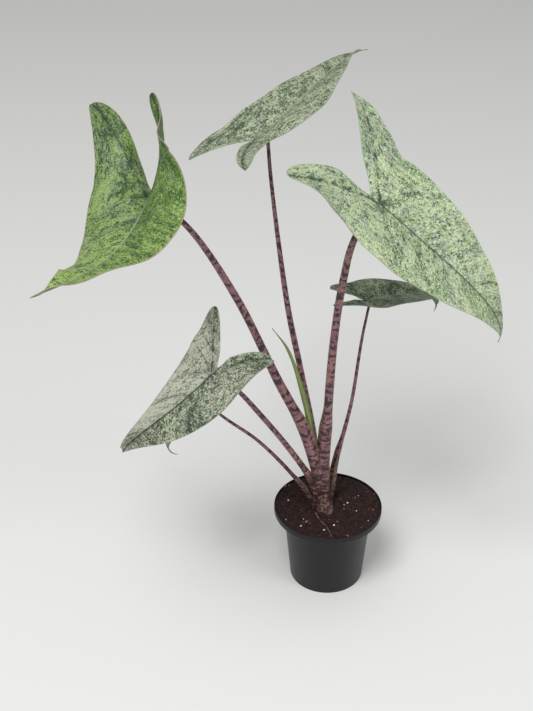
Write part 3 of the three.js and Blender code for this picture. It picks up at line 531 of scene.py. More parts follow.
# Materials of the blades
class BladePaint(Paint):
    """A speckled blade. Its flat layout carries the grain, and its vein phase draws the veins."""

    def __init__(self, name, look, seed, plant):
        super().__init__(name)
        self.look, self.plant = look, plant
        self.x, self.y, self.tip = self.split(self.attribute("flat"))
        self.phase, self.from_vein, self.from_margin = self.split(self.attribute("veins"))
        lean = (self.x * LEAN["turn"]).math("TANH") * LEAN["most"]
        along = self.x - abs(self.y) * lean
        self.level = self.join(self.x, self.y, seed)
        self.combed = self.join(along * LEAN["drawnOut"], self.y, seed + COMBED_LAYER)
        self.cloud = self.grain(self.combed, "cloud")
        self.dapple = self.grain(self.combed, "dapple")
        self.coarse = self.grain(self.combed, "coarse")
        self.middle = self.grain(self.level, "middle")
        self.fine = self.grain(self.level, "fine")
        self.other = self.grain(self.join(self.x, self.y, seed + FLECK_LAYER), "fleck")
        self.spots = self.noise(self.combed, *GRAIN["spots"]) + self.dapple * 0.3
        self.near = abs((self.phase + 0.5).math("FRACT") - 0.5)
        self.inside = self.band(self.phase, -0.35, 0.0) * self.band(self.from_margin, *VEINED_INSIDE)
        self.fans = self.under(self.near, 0.03, 0.2) * self.inside
        self.lobe = self.under(self.tip, -0.02, 0.0)
        self.lay_out_halves()

    def grain(self, vector, name):
        """Noise about zero."""
        return self.noise(vector, *GRAIN[name]) - 0.5

    def lay_out_halves(self):
        """Where the blade is young at its tip, cream or rich green."""
        side = self.band(self.y, -HALVES_MEET, HALVES_MEET)
        by_half = lambda pair: side * pair[1] + (1 - side) * pair[0]
        edge = self.x + (self.dapple * 0.05 + self.coarse * 0.03)
        reach = self.band(edge, *CREAM_STARTS) * self.under(edge, *CREAM_ENDS)
        self.pale = by_half(self.look["cream"]) * reach
        self.rich = by_half(self.look["richer"])
        self.young = self.band(self.x + self.dapple * 0.05, *YOUNG_STARTS) * self.look["young"]

    def stain(self, colour, mask, name):
        """Lays one of the look's colours over another where the mask shows it."""
        return self.mix(mask, colour, linear(self.look[name]))

    def ground(self):
        """Two ground tones with the coloured halves, and a grey veil that gathers by the veins."""
        plant = self.plant
        tones = self.band(self.cloud + self.dapple * 0.8 + self.coarse * 0.6, -0.12, 0.14)
        colour = self.mix(tones, linear(self.look["light"]), linear(self.look["mid"]))
        colour = self.mix(self.young, colour, colour_of(plant.young))
        rich = self.rich * (0.75 + self.dapple * 2.0) * (1 - self.young * 0.6)
        colour = self.mix(rich, colour, colour_of(plant.rich))
        colour = self.mix(self.pale * 0.95, colour, colour_of(plant.cream))
        veil = self.grain(self.level, "veil") + self.coarse * 0.4 + self.fans * 0.08 + self.lobe * 0.03
        veil = self.band(veil, 0.0, 0.12) * (1 - self.rich * 0.8) * (1 - self.pale * 0.7)
        veil = veil * (1 - self.young * 0.7)
        return self.stain(colour, veil * self.look["veiled"], "veil")

    def speckle(self, colour):
        """Dark specks, pale flecks and a few larger deep spots."""
        gather = (self.cloud * 1.3 + self.dapple * 1.5) * self.look["cloud"]
        amount = self.coarse * 2.0 + self.middle * 2.7 + self.fine * 1.4 + gather
        amount = amount + self.fans * 0.12 - self.pale * 0.1
        start = SPECK_LEVEL - self.look["speckle"] * self.plant.speckle
        dark = self.band(amount, start, start + SPECK_EDGE)
        colour = self.stain(colour, dark * (0.97 - self.pale * 0.2), "dark")
        start = SPECK_LEVEL - self.look["flecks"] * self.plant.speckle
        flecks = self.band(self.other * 2.6 + self.fine * 1.6 - gather * 0.5, start, start + SPECK_EDGE)
        colour = self.stain(colour, flecks * (1 - dark * 0.75) * 0.9, "fleck")
        deep = self.band(self.spots + self.middle * 0.25, 0.63, 0.67) * (1 - self.pale * 0.8)
        return self.stain(colour, deep * 0.8, "deep")

    def vein(self, colour):
        """Faded laterals with fine strands by them, the main veins with their painted shadow, and painted
        shade round the joint.
        """
        look = self.look
        faded = self.grain(self.level, "fading") + self.dapple * 0.6 + self.middle * 0.5
        faded = self.band(faded, -0.02, 0.14)
        self.lateral = self.under(self.near + self.middle * 0.1, 0.008, 0.04) * self.inside
        reach = self.under(self.from_vein, *LATERALS_FADE) * faded + self.pale * 0.6
        colour = self.stain(colour, self.lateral * reach * 0.8, "lateral")
        strands = abs((self.phase * STRANDS + self.middle * 0.4).math("FRACT") - 0.5)
        self.strands = self.under(strands, 0.02, 0.16) * self.inside
        colour = self.stain(colour, self.strands * (0.05 + self.fans * faded * 0.55), "deep")
        ragged = self.band(self.spots + self.middle * 0.6, 0.4, 0.56)
        shadow = self.under(self.from_vein + self.middle * 0.012, *VEIN_SHADOW) * self.lobe
        colour = self.stain(colour, shadow * ragged * look["shadow"], "deep")
        # Painted shade: the deep colour darkens the middle round the joint, as strongly as the painted vein
        # shadow
        centre = self.x * self.x + self.y * self.y + self.middle * 0.0006
        centre = self.under(centre, 0.00001, 0.00022)
        colour = self.stain(colour, centre * ragged * look["shadow"], "deep")
        main = self.under(self.from_vein + self.fine * 0.0006, *MIDRIB)
        stem = self.mix(self.lobe, linear(look["vein"]), linear(look["deep"]))
        return self.mix(main * (0.85 - self.lobe * (0.7 - ragged * 0.6)), colour, stem)

    def edge(self, colour):
        """A thin pale border and the dry point of the drip tip."""
        colour = self.stain(colour, self.under(self.from_margin, *BORDER) * 0.7, "margin")
        return self.mix(self.band(self.tip, 0.955, 0.985), colour, linear(DRY))


def blade_material(name, look, seed, plant, under):
    """A blade's upper skin, or its greyer and duller underside."""
    paint = BladePaint(name, look, seed, plant)
    colour = paint.edge(paint.vein(paint.speckle(paint.ground())))
    if under:
        colour = paint.stain(colour, 0.3, "veil")
    height = paint.dapple + paint.middle * 0.5 + paint.fine * 0.4
    height = height - paint.lateral * 0.4 - paint.strands * 0.3
    normal = paint.bump(height, 0.5 if under else 0.4, 0.0007)
    roughness = 0.5 + paint.fine * 0.3 + (0.1 if under else 0.0)
    return paint.finish(colour, roughness, normal, Specular_IOR_Level=0.4)


# Materials of the stalks, the new leaf and the old scale
def stalk_material(plant):
    """Mauve-brown skin with ragged dark crosswise bars, more mottled and duller at the sheath."""
    paint = Paint("barred_stalk")
    around_x, around_y, along = paint.split(paint.attribute("skin"))
    share, wing, seed = paint.split(paint.attribute("part"))
    level = paint.join(around_x * 0.0042 + seed, around_y * 0.0042, along)
    sway = paint.noise(level, 55, 2, 0.5) - 0.5
    ragged = paint.noise(level, 420, 3, 0.7) - 0.5
    gaps = paint.noise(level, 170, 2, 0.6)
    spots = paint.noise(level, 380, 3, 0.6)
    tones = paint.noise(level, 75, 3, 0.6)
    streaks = paint.noise(paint.join(around_x + seed, around_y, along * 9.0), 2.6, 3, 0.6)
    low = paint.under(along + sway * 0.03, *SHEATH)
    high = paint.band(share, 0.72, 1.0)
    # Skin, duller at the sheath and browner near the blade
    light, deep = colour_of(plant.stalk_light), colour_of(plant.stalk_deep)
    colour = paint.mix(paint.band(tones, 0.35, 0.65), deep, light)
    colour = paint.mix(low * 0.65, colour, linear("#8a6a62"))
    colour = paint.mix(high * 0.55, colour, linear("#6f5a48"))
    colour = paint.mix(paint.band(streaks, 0.5, 0.68) * 0.35, colour, linear("#694349"))
    # Bars across it, blots at the sheath and freckles everywhere
    phase = along * BARS["perMetre"] + sway * 3.0 + ragged * 1.1 + (gaps - 0.5) * 1.2
    bars = paint.under(abs(phase.math("FRACT") - 0.5), BARS["darkest"], BARS["edge"])
    bars = bars * paint.band(gaps + low * 0.03, 0.41, 0.47)
    colour = paint.mix(bars * 0.94, colour, colour_of(plant.stalk_bars))
    blots = paint.noise(level, 260, 3, 0.65, 0.6)
    colour = paint.mix(paint.band(blots, 0.49, 0.53) * low * 0.9, colour, linear("#361d21"))
    freckles = paint.band(spots + low * 0.07, 0.59, 0.64)
    colour = paint.mix(freckles * 0.85, colour, linear("#3a2023"))
    colour = paint.mix(wing * 0.7, colour, linear("#6f6b42"))
    normal = paint.bump(streaks * 0.6 + tones * 0.4 - bars * 0.25, 0.3, 0.0005)
    return paint.finish(colour, 0.45 + ragged * 0.2, normal, Specular_IOR_Level=0.45)


def new_leaf_material(plant):
    """The outside of the rolled blade: olive green, with a pale flank and a yellow foot."""
    paint = Paint("rolled_blade")
    around_x, around_y, along = paint.split(paint.attribute("skin"))
    share, _, seam = paint.split(paint.attribute("part"))
    level = paint.join(around_x * 0.004, around_y * 0.004, along * 0.5)
    tones = paint.noise(level, 140, 3, 0.6)
    grain = paint.noise(level, 700, 2, 0.7)
    flank = paint.band(around_x * -0.6 + around_y * 0.4 + (tones - 0.5) * 0.6, 0.1, 0.5)
    shade = paint.band(around_x * 0.8 + around_y * 0.5 + (tones - 0.5) * 0.8, 0.1, 0.6)
    colour = paint.mix(paint.band(tones, 0.35, 0.65), linear("#4f6528"), colour_of(plant.new_leaf))
    colour = paint.mix(flank * 0.5, colour, linear("#8b9658"))
    colour = paint.mix(shade * 0.5, colour, linear("#3f5224"))
    colour = paint.mix(paint.band(grain, 0.55, 0.7) * 0.35, colour, linear("#4f6a30"))
    colour = paint.mix(paint.under(share, 0.3, 0.56) * 0.7, colour, linear("#8c8a35"))
    colour = paint.mix(paint.band(share, 0.9, 1.0) * 0.6, colour, linear("#7c6f3c"))
    colour = paint.mix(paint.under(abs(seam), 0.0, 0.05) * 0.5, colour, linear("#4d5c2c"))
    normal = paint.bump(tones * 0.6 + grain * 0.4, 0.25, 0.0004)
    return paint.finish(colour, 0.4 + grain * 0.15, normal)


def old_scale_material():
    """Papery brown skin with dark blots and freckles and fine ribs along it."""
    paint = Paint("papery_scale")
    around_x, around_y, along = paint.split(paint.attribute("skin"))
    level = paint.join(around_x * 0.008, around_y * 0.008, along)
    ribs = paint.noise(paint.join(around_x * 9.0, around_y * 9.0, along * 40.0), 1.4, 3, 0.6)
    spots = paint.noise(level, 430, 3, 0.7)
    blots = paint.noise(level, 260, 3, 0.65, 0.6)
    colour = paint.mix(paint.band(ribs, 0.4, 0.65), linear("#8f7067"), linear("#7d5e58"))
    colour = paint.mix(paint.band(blots, 0.46, 0.51) * 0.9, colour, linear("#3a2124"))
    colour = paint.mix(paint.band(spots + blots * 0.3, 0.65, 0.7) * 0.9, colour, linear("#341b1c"))
    return paint.finish(colour, 0.7 + spots * 0.15, paint.bump(ribs + spots * 0.5, 0.4, 0.0006))


# Materials of the pot and its mix
def pot_material(settings):
    """Black moulded plastic with a satin sheen, faint scuffs and settled dust."""
    paint = Paint("moulded_plastic")
    place = paint.place()
    x, y, z = paint.split(place)
    dust = paint.noise(place, 90, 5, 0.7)
    scuffs = paint.noise(paint.join(x * 60.0, y * 60.0, z * 900.0), 1.0, 3, 0.6)
    skin = paint.noise(place, 2400, 2, 0.6)
    low = paint.under(z, 0.0, 0.03)
    cover = paint.band(dust + low * 0.12, 0.55, 0.8) * 0.09 + paint.band(scuffs, 0.68, 0.74) * 0.04
    colour = paint.mix(cover, colour_of(settings.colour), linear("#4a433f"))
    roughness = cover * 1.4 + skin * 0.1 + settings.roughness
    normal = paint.bump(skin + scuffs * 0.3, 0.12, 0.0003)
    return paint.finish(colour, roughness, normal, Specular_IOR_Level=0.35)


def soil_material(settings):
    """Moist coir: a dark red-brown ground with lighter bits in it."""
    paint = Paint("coir_ground")
    place = paint.place()
    lumps = paint.noise(place, 160, 4, 0.7)
    bits = paint.noise(place, 620, 3, 0.75)
    colour = paint.mix(paint.band(lumps, 0.35, 0.65), linear("#140a0a"), colour_of(settings.coir))
    colour = paint.mix(paint.band(bits, 0.56, 0.72) * 0.7, colour, linear("#56302a"))
    return paint.finish(colour, 0.88 + bits * 0.1, paint.bump(bits + lumps, 0.8, 0.001))


def crumb_material(name, dark, light, roughness):
    """Loose bits or roots: two tones and a rough skin."""
    paint = Paint(name)
    place = paint.place()
    tones = paint.noise(place, 260, 3, 0.6)
    grain = paint.noise(place, 1500, 2, 0.7)
    colour = paint.mix(paint.band(tones + (grain - 0.5) * 0.3, 0.38, 0.62), linear(dark), light)
    return paint.finish(colour, roughness + grain * 0.1, paint.bump(grain, 0.6, 0.0006))


# Blades
def turn_about(axis, angle):
    """The rotation matrix about a unit axis."""
    x, y, z = axis
    c, s = math.cos(angle), math.sin(angle)
    cross = np.array([[0, -z, y], [z, 0, -x], [-y, x, 0]])
    return np.eye(3) * c + s * cross + (1 - c) * np.outer(axis, axis)


def grow_vein(at, axes, length, turns, late, stops):
    """Places and frames along a vein. The rows of a frame are along, across and up."""
    bend, sweep, twist = (math.radians(t) for t in turns)
    places, frames = [at], [axes]
    for before, after in zip(stops[:-1], stops[1:]):
        share = after ** (1 + late) - before ** (1 + late)
        along, across, up = frames[-1]
        half = turn_about(across, bend * share / 2) @ turn_about(up, sweep * share / 2)
        places.append(places[-1] + half @ along * (after - before) * length)
        turn = turn_about(across, bend * share) @ turn_about(up, sweep * share)
        frames.append(frames[-1] @ (turn @ turn_about(along, twist * share)).T)
    return np.array(places), np.array(frames)


def through(values, s):
    """A smooth run through three values, at 0, one half and 1."""
    first, middle, last = values
    return first * (1 - s) * (1 - 2 * s) + 4 * middle * s * (1 - s) + last * s * (2 * s - 1)


def arc_points(width, start, turn, share):
    """How far out and up points lie at shares of an arc that starts at one angle and turns."""
    turn = np.where(np.abs(turn) < TINY, TINY, turn)
    end = start + turn * share
    outwards = width * (np.sin(end) - np.sin(start)) / turn
    return outwards, width * (np.cos(start) - np.cos(end)) / turn


def crowded(count, power):
    """Shares from 0 to 1 that crowd towards 1."""
    return 1 - (1 - np.linspace(0, 1, count + 1)) ** power


class Strip:
    """A grid of points that leaves a vein sideways, with what the shader needs at each point."""

    def __init__(self, places, frames, out, width, fold, curl, wave, columns, flip):
        share = columns[None, :]
        column = lambda v: np.broadcast_to(v, len(places))[:, None]
        outwards, upwards = arc_points(column(width), column(fold), column(curl), share)
        upwards = upwards + column(wave) * share ** 2
        self.points = (places[:, None, :] + outwards[..., None] * out[:, None, :]
                       + upwards[..., None] * frames[:, None, 2, :])
        self.from_vein = column(width) * share
        self.from_margin = column(width) * (1 - share)
        self.share = np.broadcast_to(share, self.from_vein.shape)
        self.flip = flip


def joint_frame(leaf, angle):
    """The blade's along, across and up where it leaves its joint."""
    heading, pitch, roll = (angle(leaf[key]) for key in ("heading", "pitch", "roll"))
    along = np.array([math.cos(pitch) * math.cos(heading), math.cos(pitch) * math.sin(heading),
                      math.sin(pitch)])
    across = turn_about(along, roll) @ np.array([-math.sin(heading), math.cos(heading), 0])
    return np.array([along, across, np.cross(along, across)])


def leaf_strips(leaf, flat=False):
    """The strips of a blade in millimetres: front, outer lobe and inner lobe on each side. The flat
    layout has the same points with nothing bent, folded or rolled."""
    axes = joint_frame(leaf, (lambda degrees: 0.0) if flat else math.radians)
    at = np.zeros(3) if flat else np.array(leaf["joint"], float)
    bent = 0.0 if flat else 1.0
    s = crowded(BLADE_GRID["front"], BLADE_GRID["crowding"])
    turns = [bent * leaf[key] for key in ("bend", "sweep", "twist")]
    places, frames = grow_vein(at, axes, leaf["length"], turns, leaf["late"], s)
    columns = np.linspace(0, 1, BLADE_GRID["outer"] + 1) ** BLADE_GRID["outerCrowding"]
    level = bent * (1 - ease((s - BLADE["flatFrom"]) / (1 - BLADE["flatFrom"])))
    strips = []
    for key, side in (("left", 1), ("right", -1)):
        half = leaf[key]
        pinch = np.exp(-((s - BLADE["pinchPlace"]) / BLADE["pinchSpan"]) ** 2) * half.get("pinch", 0)
        front = Strip(places, frames, side * frames[:, 1], front_width(leaf, s),
                      level * np.radians(through(half["fold"], s) + pinch),
                      level * np.radians(through(half["curl"], s)),
                      level * edge_wave(s * leaf["length"]), columns, side < 0)
        front.phase = front_phase(s, front, leaf)
        front.main, front.tip = s[:, None], s
        strips += [front] + lobe_strips(leaf, half, side, at, axes, bent)
    return strips


def front_width(leaf, s):
    """The half width of the blade's front, with its narrow drip tip."""
    tail = leaf["tail"] / leaf["length"]
    main = np.minimum(1, s / (1 - tail))
    return (leaf["halfWidth"] * (1 - main ** 2) ** BLADE["taper"]
            + BLADE["tailHalfWidth"] * np.minimum(1, (1 - s) / tail))


def edge_wave(distance):
    """How high the margin waves."""
    return BLADE["waveHeight"] * np.sin(2 * np.pi * distance / BLADE["waveLength"])


def front_phase(s, strip, leaf):
    """Whole numbers lie on the lateral veins, which lean towards the tip."""
    leaning = 1 + BLADE["leanMore"] * strip.share ** 2
    ahead = BLADE["lateralLean"] * strip.from_vein / leaf["length"] * leaning
    return BLADE["laterals"] * (s[:, None] - ahead)


def lobe_frame(half, side, axes, bent):
    """The lobe vein's own along, across and up, turned back from the joint by its spread."""
    along, across, up = axes
    spread, fold = math.radians(half["spread"]), bent * math.radians(half["fold"][0])
    level = math.cos(fold) * side * across + math.sin(fold) * up
    rise = -math.sin(fold) * side * across + math.cos(fold) * up
    vein = -math.cos(spread) * along + math.sin(spread) * level
    return np.array([vein, math.sin(spread) * along + math.cos(spread) * level, rise])


def lobe_strips(leaf, half, side, at, axes, bent):
    """The lobe behind the joint, outside and inside of its own main vein."""
    spread = math.radians(half["spread"])
    turns = [-side * bent * half[key] for key in ("bend", "sweep", "twist")]
    v = crowded(BLADE_GRID["lobe"], BLADE_GRID["lobeCrowding"])
    places, frames = grow_vein(at, lobe_frame(half, side, axes, bent), half["lobe"], turns,
                               half.get("late", LOBE["late"]), v)
    rounding = np.sqrt(np.maximum(0, 1 - v ** 4))
    # Outside of the vein
    lean = spread * (1 - LOBE["straightening"] * ease(v / LOBE["straightenedBy"]))
    out = np.cos(lean)[:, None] * frames[:, 1] + np.sin(lean)[:, None] * frames[:, 0]
    narrowed = 1 - (1 - np.minimum(1, v / LOBE["narrowedBy"])) ** 2
    width = blend(leaf["halfWidth"] + BLADE["tailHalfWidth"], half["outer"], narrowed) * rounding
    curl = np.radians(blend(half["curl"][0], half["lobeCurl"], ease(v)))
    fold = math.radians(half["lobeFold"]) * ease(v / LOBE["foldedBy"])
    columns = np.linspace(0, 1, BLADE_GRID["outer"] + 1) ** BLADE_GRID["outerCrowding"]
    outside = Strip(places, frames, out, width, bent * fold, bent * curl,
                    -bent * edge_wave(v * half["lobe"]) * rounding, columns, side > 0)
    # Inside of the vein, where the blade bridges the joint
    spreading = ease(v / LOBE["innerBy"])
    lean = blend(spread, np.pi / 2, spreading)
    out = np.cos(lean)[:, None] * frames[:, 0] - np.sin(lean)[:, None] * frames[:, 1]
    width = blend(leaf["bridge"], half["inner"], spreading) * rounding
    columns = np.linspace(0, 1, BLADE_GRID["inner"] + 1) ** BLADE_GRID["innerCrowding"]
    inside = Strip(places, frames, out, width, bent * math.radians(half["innerFold"]) * spreading,
                   0.0, 0.0, columns, side < 0)
    for strip in (outside, inside):
        back = BLADE["lobeLateralLean"] * strip.from_vein / half["lobe"]
        strip.phase = BLADE["lobeLaterals"] * (v[:, None] - back) - BLADE["lobePhase"]
        strip.main, strip.tip = v[:, None], -v
    return [outside, inside]


class Sheet:
    """The middle surface of a blade, its strips welded where they meet."""

    def __init__(self, leaf, plant):
        self.plant = plant
        self.numbers, self.points, self.rib, self.puff, self.depth = {}, [], [], [], []
        self.faces, self.layout, self.veins = [], [], []
        for bent, flat in zip(leaf_strips(leaf), leaf_strips(leaf, flat=True)):
            self.add(bent, flat, min(1, leaf["halfWidth"] / BLADE["fullRibWidth"]))
        self.points = np.array(self.points)

    def add(self, bent, flat, size):
        """Adds a strip's points with their relief, and its faces with their layout."""
        number = self.number_strip(bent, *self.relief(bent, size))
        rows, columns = number.shape
        tip = np.broadcast_to(bent.tip[:, None], (rows, columns))
        layout = np.dstack([flat.points[..., :2] * MM, tip])
        veins = np.dstack([bent.phase, bent.from_vein * MM, bent.from_margin * MM])
        for r in range(rows - 1):
            for c in range(columns - 1):
                corners = [(r, c), (r + 1, c), (r + 1, c + 1), (r, c + 1)]
                if bent.flip:
                    corners.reverse()
                kept = [k for i, k in enumerate(corners) if number[k] != number[corners[i - 1]]]
                if len(kept) > 2:
                    self.faces.append([int(number[k]) for k in kept])
                    self.layout.append([layout[k] for k in kept])
                    self.veins.append([veins[k] for k in kept])

    def relief(self, strip, size):
        """The heights of the ribs below, the grooves above them and the puffs between laterals."""
        ridge = np.exp(-(strip.from_vein / (BLADE["ribWidth"] * size)) ** 2)
        ribs = self.plant.rib_height / MM * size * ridge * (1 - strip.main) ** BLADE["ribTaper"]
        grooves = self.plant.groove / MM * ridge * ease(strip.from_margin / BLADE["grooveFrom"])
        between = np.abs(np.sin(np.pi * strip.phase)) ** PUFFS["fullness"]
        quilt = between * np.sin(np.pi * strip.share ** PUFFS["towardsVein"])
        fading = ease(strip.main / PUFFS["from"]) * ease((1 - strip.main) / PUFFS["until"])
        return ribs, grooves, self.plant.puff / MM * size * quilt * fading

    def number_strip(self, strip, ribs, grooves, puffs):
        """The number of each of a strip's points in the whole sheet."""
        rows, columns = strip.share.shape
        number = np.empty((rows, columns), int)
        for k in np.ndindex(rows, columns):
            number[k] = self.number(strip.points[k], ribs[k], grooves[k], puffs[k])
        return number

    def number(self, point, rib, groove, puff):
        """A point's number, the old one where a point already lies there."""
        key = tuple(np.round(point * WELD_STEPS).astype(int))
        if key not in self.numbers:
            self.numbers[key] = len(self.points)
            self.points.append(point)
            self.rib.append(rib)
            self.depth.append(groove)
            self.puff.append(puff)
        return self.numbers[key]

    def normals(self):
        """The direction out of the upper side at each point."""
        normals = np.zeros_like(self.points)
        for face in self.faces:
            corners = self.points[face]
            normal = np.cross(corners[1] - corners[0], corners[2] - corners[0])
            if len(face) == 4:
                normal = normal + np.cross(corners[2] - corners[0], corners[3] - corners[0])
            normals[face] += normal
        return normals / np.linalg.norm(normals, axis=1)[:, None]

    def open_edges(self):
        """The edges of the margin, which only one face has."""
        edges = {}
        for face in self.faces:
            for a, b in zip(face, face[1:] + face[:1]):
                if edges.pop((b, a), None) is None:
                    edges[(a, b)] = True
        return list(edges)

    def margin_data(self):
        """The layout and veins at the corners, for the band round the margin."""
        return {corner: data for face, *stores in zip(self.faces, self.layout, self.veins)
                for corner, *data in zip(face, *stores)}


def build_blade(name, leaf, look, seed, plant):
    """The closed blade: a puffed upper face with grooved veins and a ribbed underside."""
    sheet = Sheet(leaf, plant)
    normals = sheet.normals()
    puff, rib, groove = (np.array(v)[:, None] for v in (sheet.puff, sheet.rib, sheet.depth))
    half = plant.thickness / MM / 2
    top = sheet.points + normals * (half + puff - groove)
    below = sheet.points + normals * (puff - half - rib)
    count = len(top)
    faces = sheet.faces + [[corner + count for corner in face[::-1]] for face in sheet.faces]
    layout = sheet.layout + [corners[::-1] for corners in sheet.layout]
    veins = sheet.veins + [corners[::-1] for corners in sheet.veins]
    data = sheet.margin_data()
    for a, b in sheet.open_edges():
        faces.append([a, a + count, b + count, b])
        layout.append([data[k][0] for k in (a, a, b, b)])
        veins.append([data[k][1] for k in (a, a, b, b)])
    under = [0] * len(sheet.faces) + [1] * (len(faces) - len(sheet.faces))
    points = np.vstack([top, below]) * MM
    if signed_volume(points, faces) < 0:
        raise RuntimeError(f"{name} is inside out")
    materials = [blade_material(name + "_top", look, seed, plant, False),
                 blade_material(name + "_under", look, seed, plant, True)]
    piece = make_mesh(name, points, faces, materials, under, CREASE["skin"])
    store_vectors(piece, "flat", "CORNER", np.concatenate([np.ravel(c) for c in layout]))
    store_vectors(piece, "veins", "CORNER", np.concatenate([np.ravel(c) for c in veins]))
    return piece


def store_vectors(piece, name, domain, values):
    """Stores a vector for each point or corner, for the shader to read."""
    attribute = piece.data.attributes.new(name, "FLOAT_VECTOR", domain)
    attribute.data.foreach_set("vector", values.ravel())


# Stalks, rolled leaf, scale and roots
def smooth_path(points, count):
    """Points evenly spaced along a centripetal Catmull-Rom curve, with their directions."""
    p = np.array(points, float)
    p = np.vstack([2 * p[0] - p[1], p, 2 * p[-1] - p[-2]])
    dense = []
    for a, b, c, d in zip(p[:-3], p[1:-2], p[2:-1], p[3:]):
        t0, t1, t2 = (math.sqrt(np.linalg.norm(v)) for v in (b - a, c - b, d - c))
        start = ((b - a) / t0 - (c - a) / (t0 + t1) + (c - b) / t1) * t1
        end = ((c - b) / t1 - (d - b) / (t1 + t2) + (d - c) / t2) * t1
        t = np.linspace(0, 1, PATH_STEPS, endpoint=False)[:, None]
        dense.append((2 * t ** 3 - 3 * t ** 2 + 1) * b + (t ** 3 - 2 * t ** 2 + t) * start
                     + (3 * t ** 2 - 2 * t ** 3) * c + (t ** 3 - t ** 2) * end)
    dense = np.vstack(dense + [p[-2][None]])
    length = np.concatenate([[0], np.cumsum(np.linalg.norm(np.diff(dense, axis=0), axis=1))])
    stops = np.linspace(0, length[-1], count)
    places = np.column_stack([np.interp(stops, length, dense[:, i]) for i in range(3)])
    directions = np.gradient(places, axis=0)
    return places, directions / np.linalg.norm(directions, axis=1)[:, None], stops


def at_stations(stations, shares, column):
    """A station value at each share, easing from one station to the next."""
    starts = np.array([s[0] for s in stations])
    values = np.array([s[column] for s in stations])
    i = np.clip(np.searchsorted(starts, shares, "left"), 1, len(starts) - 1)
    t = ease((shares - starts[i - 1]) / (starts[i] - starts[i - 1]))
    return blend(values[i - 1], values[i], t)


def outward_of(run):
    """Where a path's outer side faces: away from the stem, or up where the path lies."""
    if run[2] > UPRIGHT * np.linalg.norm(run):
        return unit(run * [1, 1, 0])
    return np.array([0, 0, 1.0])


def build_round(name, path, stations, material, rings, sides, shape=None, seed=0.0):
    """A tapering round piece along a path, with its skin's layout stored for the shader."""
    places, directions, lengths = smooth_path(path, rings)
    shares = np.linspace(0, 1, rings)
    across = np.cross(outward_of(places[-1] - places[0]), directions)
    across /= np.linalg.norm(across, axis=1)[:, None]
    deep = np.cross(directions, across)
    turn = np.linspace(0, 2 * np.pi, sides, endpoint=False)[None, :]
    width, depth, wing = (at_stations(stations, shares, i)[:, None] for i in (1, 2, 3))
    reach, edge = wings(turn, wing)
    if shape:
        reach = reach * shape(turn, shares[:, None])
    points = (places[:, None, :] + (width * reach * np.cos(turn))[..., None] * across[:, None, :]
              + (depth * reach * np.sin(turn))[..., None] * deep[:, None, :])
    faces = [[r * sides + k, r * sides + (k + 1) % sides, (r + 1) * sides + (k + 1) % sides,
              (r + 1) * sides + k] for r in range(rings - 1) for k in range(sides)]
    faces += [list(range(sides))[::-1], [(rings - 1) * sides + k for k in range(sides)]]
    piece = make_mesh(name, points.reshape(-1, 3) * MM, faces, [material], None, CREASE["skin"])
    around = np.broadcast_to(turn, (rings, sides))
    over = lambda column: np.broadcast_to(column, around.shape)
    last = from_seam(around) if shape else over(seed)
    skin = np.dstack([np.cos(around), np.sin(around), over(lengths[:, None] * MM)])
    store_vectors(piece, "skin", "POINT", skin)
    store_vectors(piece, "part", "POINT", np.dstack([over(shares[:, None]), over(edge), last]))
    return piece


def from_seam(turn):
    """Turns of the new leaf from its seam, from minus one half to one half."""
    return (turn / (2 * np.pi) - NEW_LEAF["seam"] / 360 + 0.5) % 1 - 0.5


def lowered(path):
    """A stalk's path with its top brought back a little, so that it ends inside the blade's vein."""
    last, before = np.array(path[-1], float), np.array(path[-2], float)
    return list(path[:-1]) + [tuple(last - unit(last - before) * STALK_GRID["shortened"])]


def wings(turn, height):
    """How the sheath's two thin edges stand out from the skin, and where they are."""
    reach = np.ones_like(turn * height)
    edge = np.zeros_like(reach)
    for sign in (-1, 1):
        middle = math.radians(WING["middle"] + sign * WING["apart"])
        near = np.exp(-((turn - middle) / math.radians(WING["width"])) ** 2)
        reach = reach + height * near
        edge = edge + near * np.minimum(1, height * WING["colouring"])
    return reach, np.clip(edge, 0, 1)


def build_new_leaf(plant):
    """The rolled leaf, whose outer edge stands a step higher than the inner one at the seam."""
    turned = lambda turn: (turn / (2 * np.pi) - NEW_LEAF["seam"] / 360) % 1
    rolled = lambda turn, share: 1 + NEW_LEAF["overlap"] * (turned(turn) - 0.5)
    return build_round("new_leaf_roll", NEW_LEAF["path"], NEW_LEAF["stations"],
                       new_leaf_material(plant), NEW_LEAF["rings"], NEW_LEAF["sides"], rolled)


def build_surface_root(settings):
    """The lumpy root on the mix, half as thick at its end."""
    radius = settings.root_radius / MM
    path = [(x, y, soil_height(x, y) + radius) for x, y in SURFACE_ROOT["points"]]
    stations = ((0, radius, radius, 0), (1, radius / 2, radius / 2, 0))
    root = SURFACE_ROOT
    lumpy = lambda turn, share: (1 + root["lumps"] * np.sin(share * root["lumpTurns"])
                                 * np.cos(turn + share * root["lumpSpin"]))
    material = crumb_material("pale_root", "#6b4c40", colour_of(settings.root), 0.6)
    return build_round("pale_surface_root", path, stations, material, root["rings"], root["sides"],
                       lumpy)


# Pot and mix
def spin_profile(name, profile, segments, materials, crease):
    """A closed turned shape from its half outline, which starts and ends on the axis."""
    points = [(0, 0, profile[0][1])]
    turns = np.linspace(0, 2 * np.pi, segments, endpoint=False)
    for radius, z in profile[1:-1]:
        points += [(radius * math.cos(t), radius * math.sin(t), z) for t in turns]
    points.append((0, 0, profile[-1][1]))
    faces = []
    rows = len(profile) - 2
    for k in range(segments):
        following = (k + 1) % segments
        faces.append([0, 1 + following, 1 + k])
        last = 1 + (rows - 1) * segments
        faces.append([last + k, last + following, len(points) - 1])
        for r in range(rows - 1):
            a = 1 + r * segments
            faces.append([a + k, a + following, a + segments + following, a + segments + k])
    return make_mesh(name, np.array(points) * MM, faces, materials, None, crease)


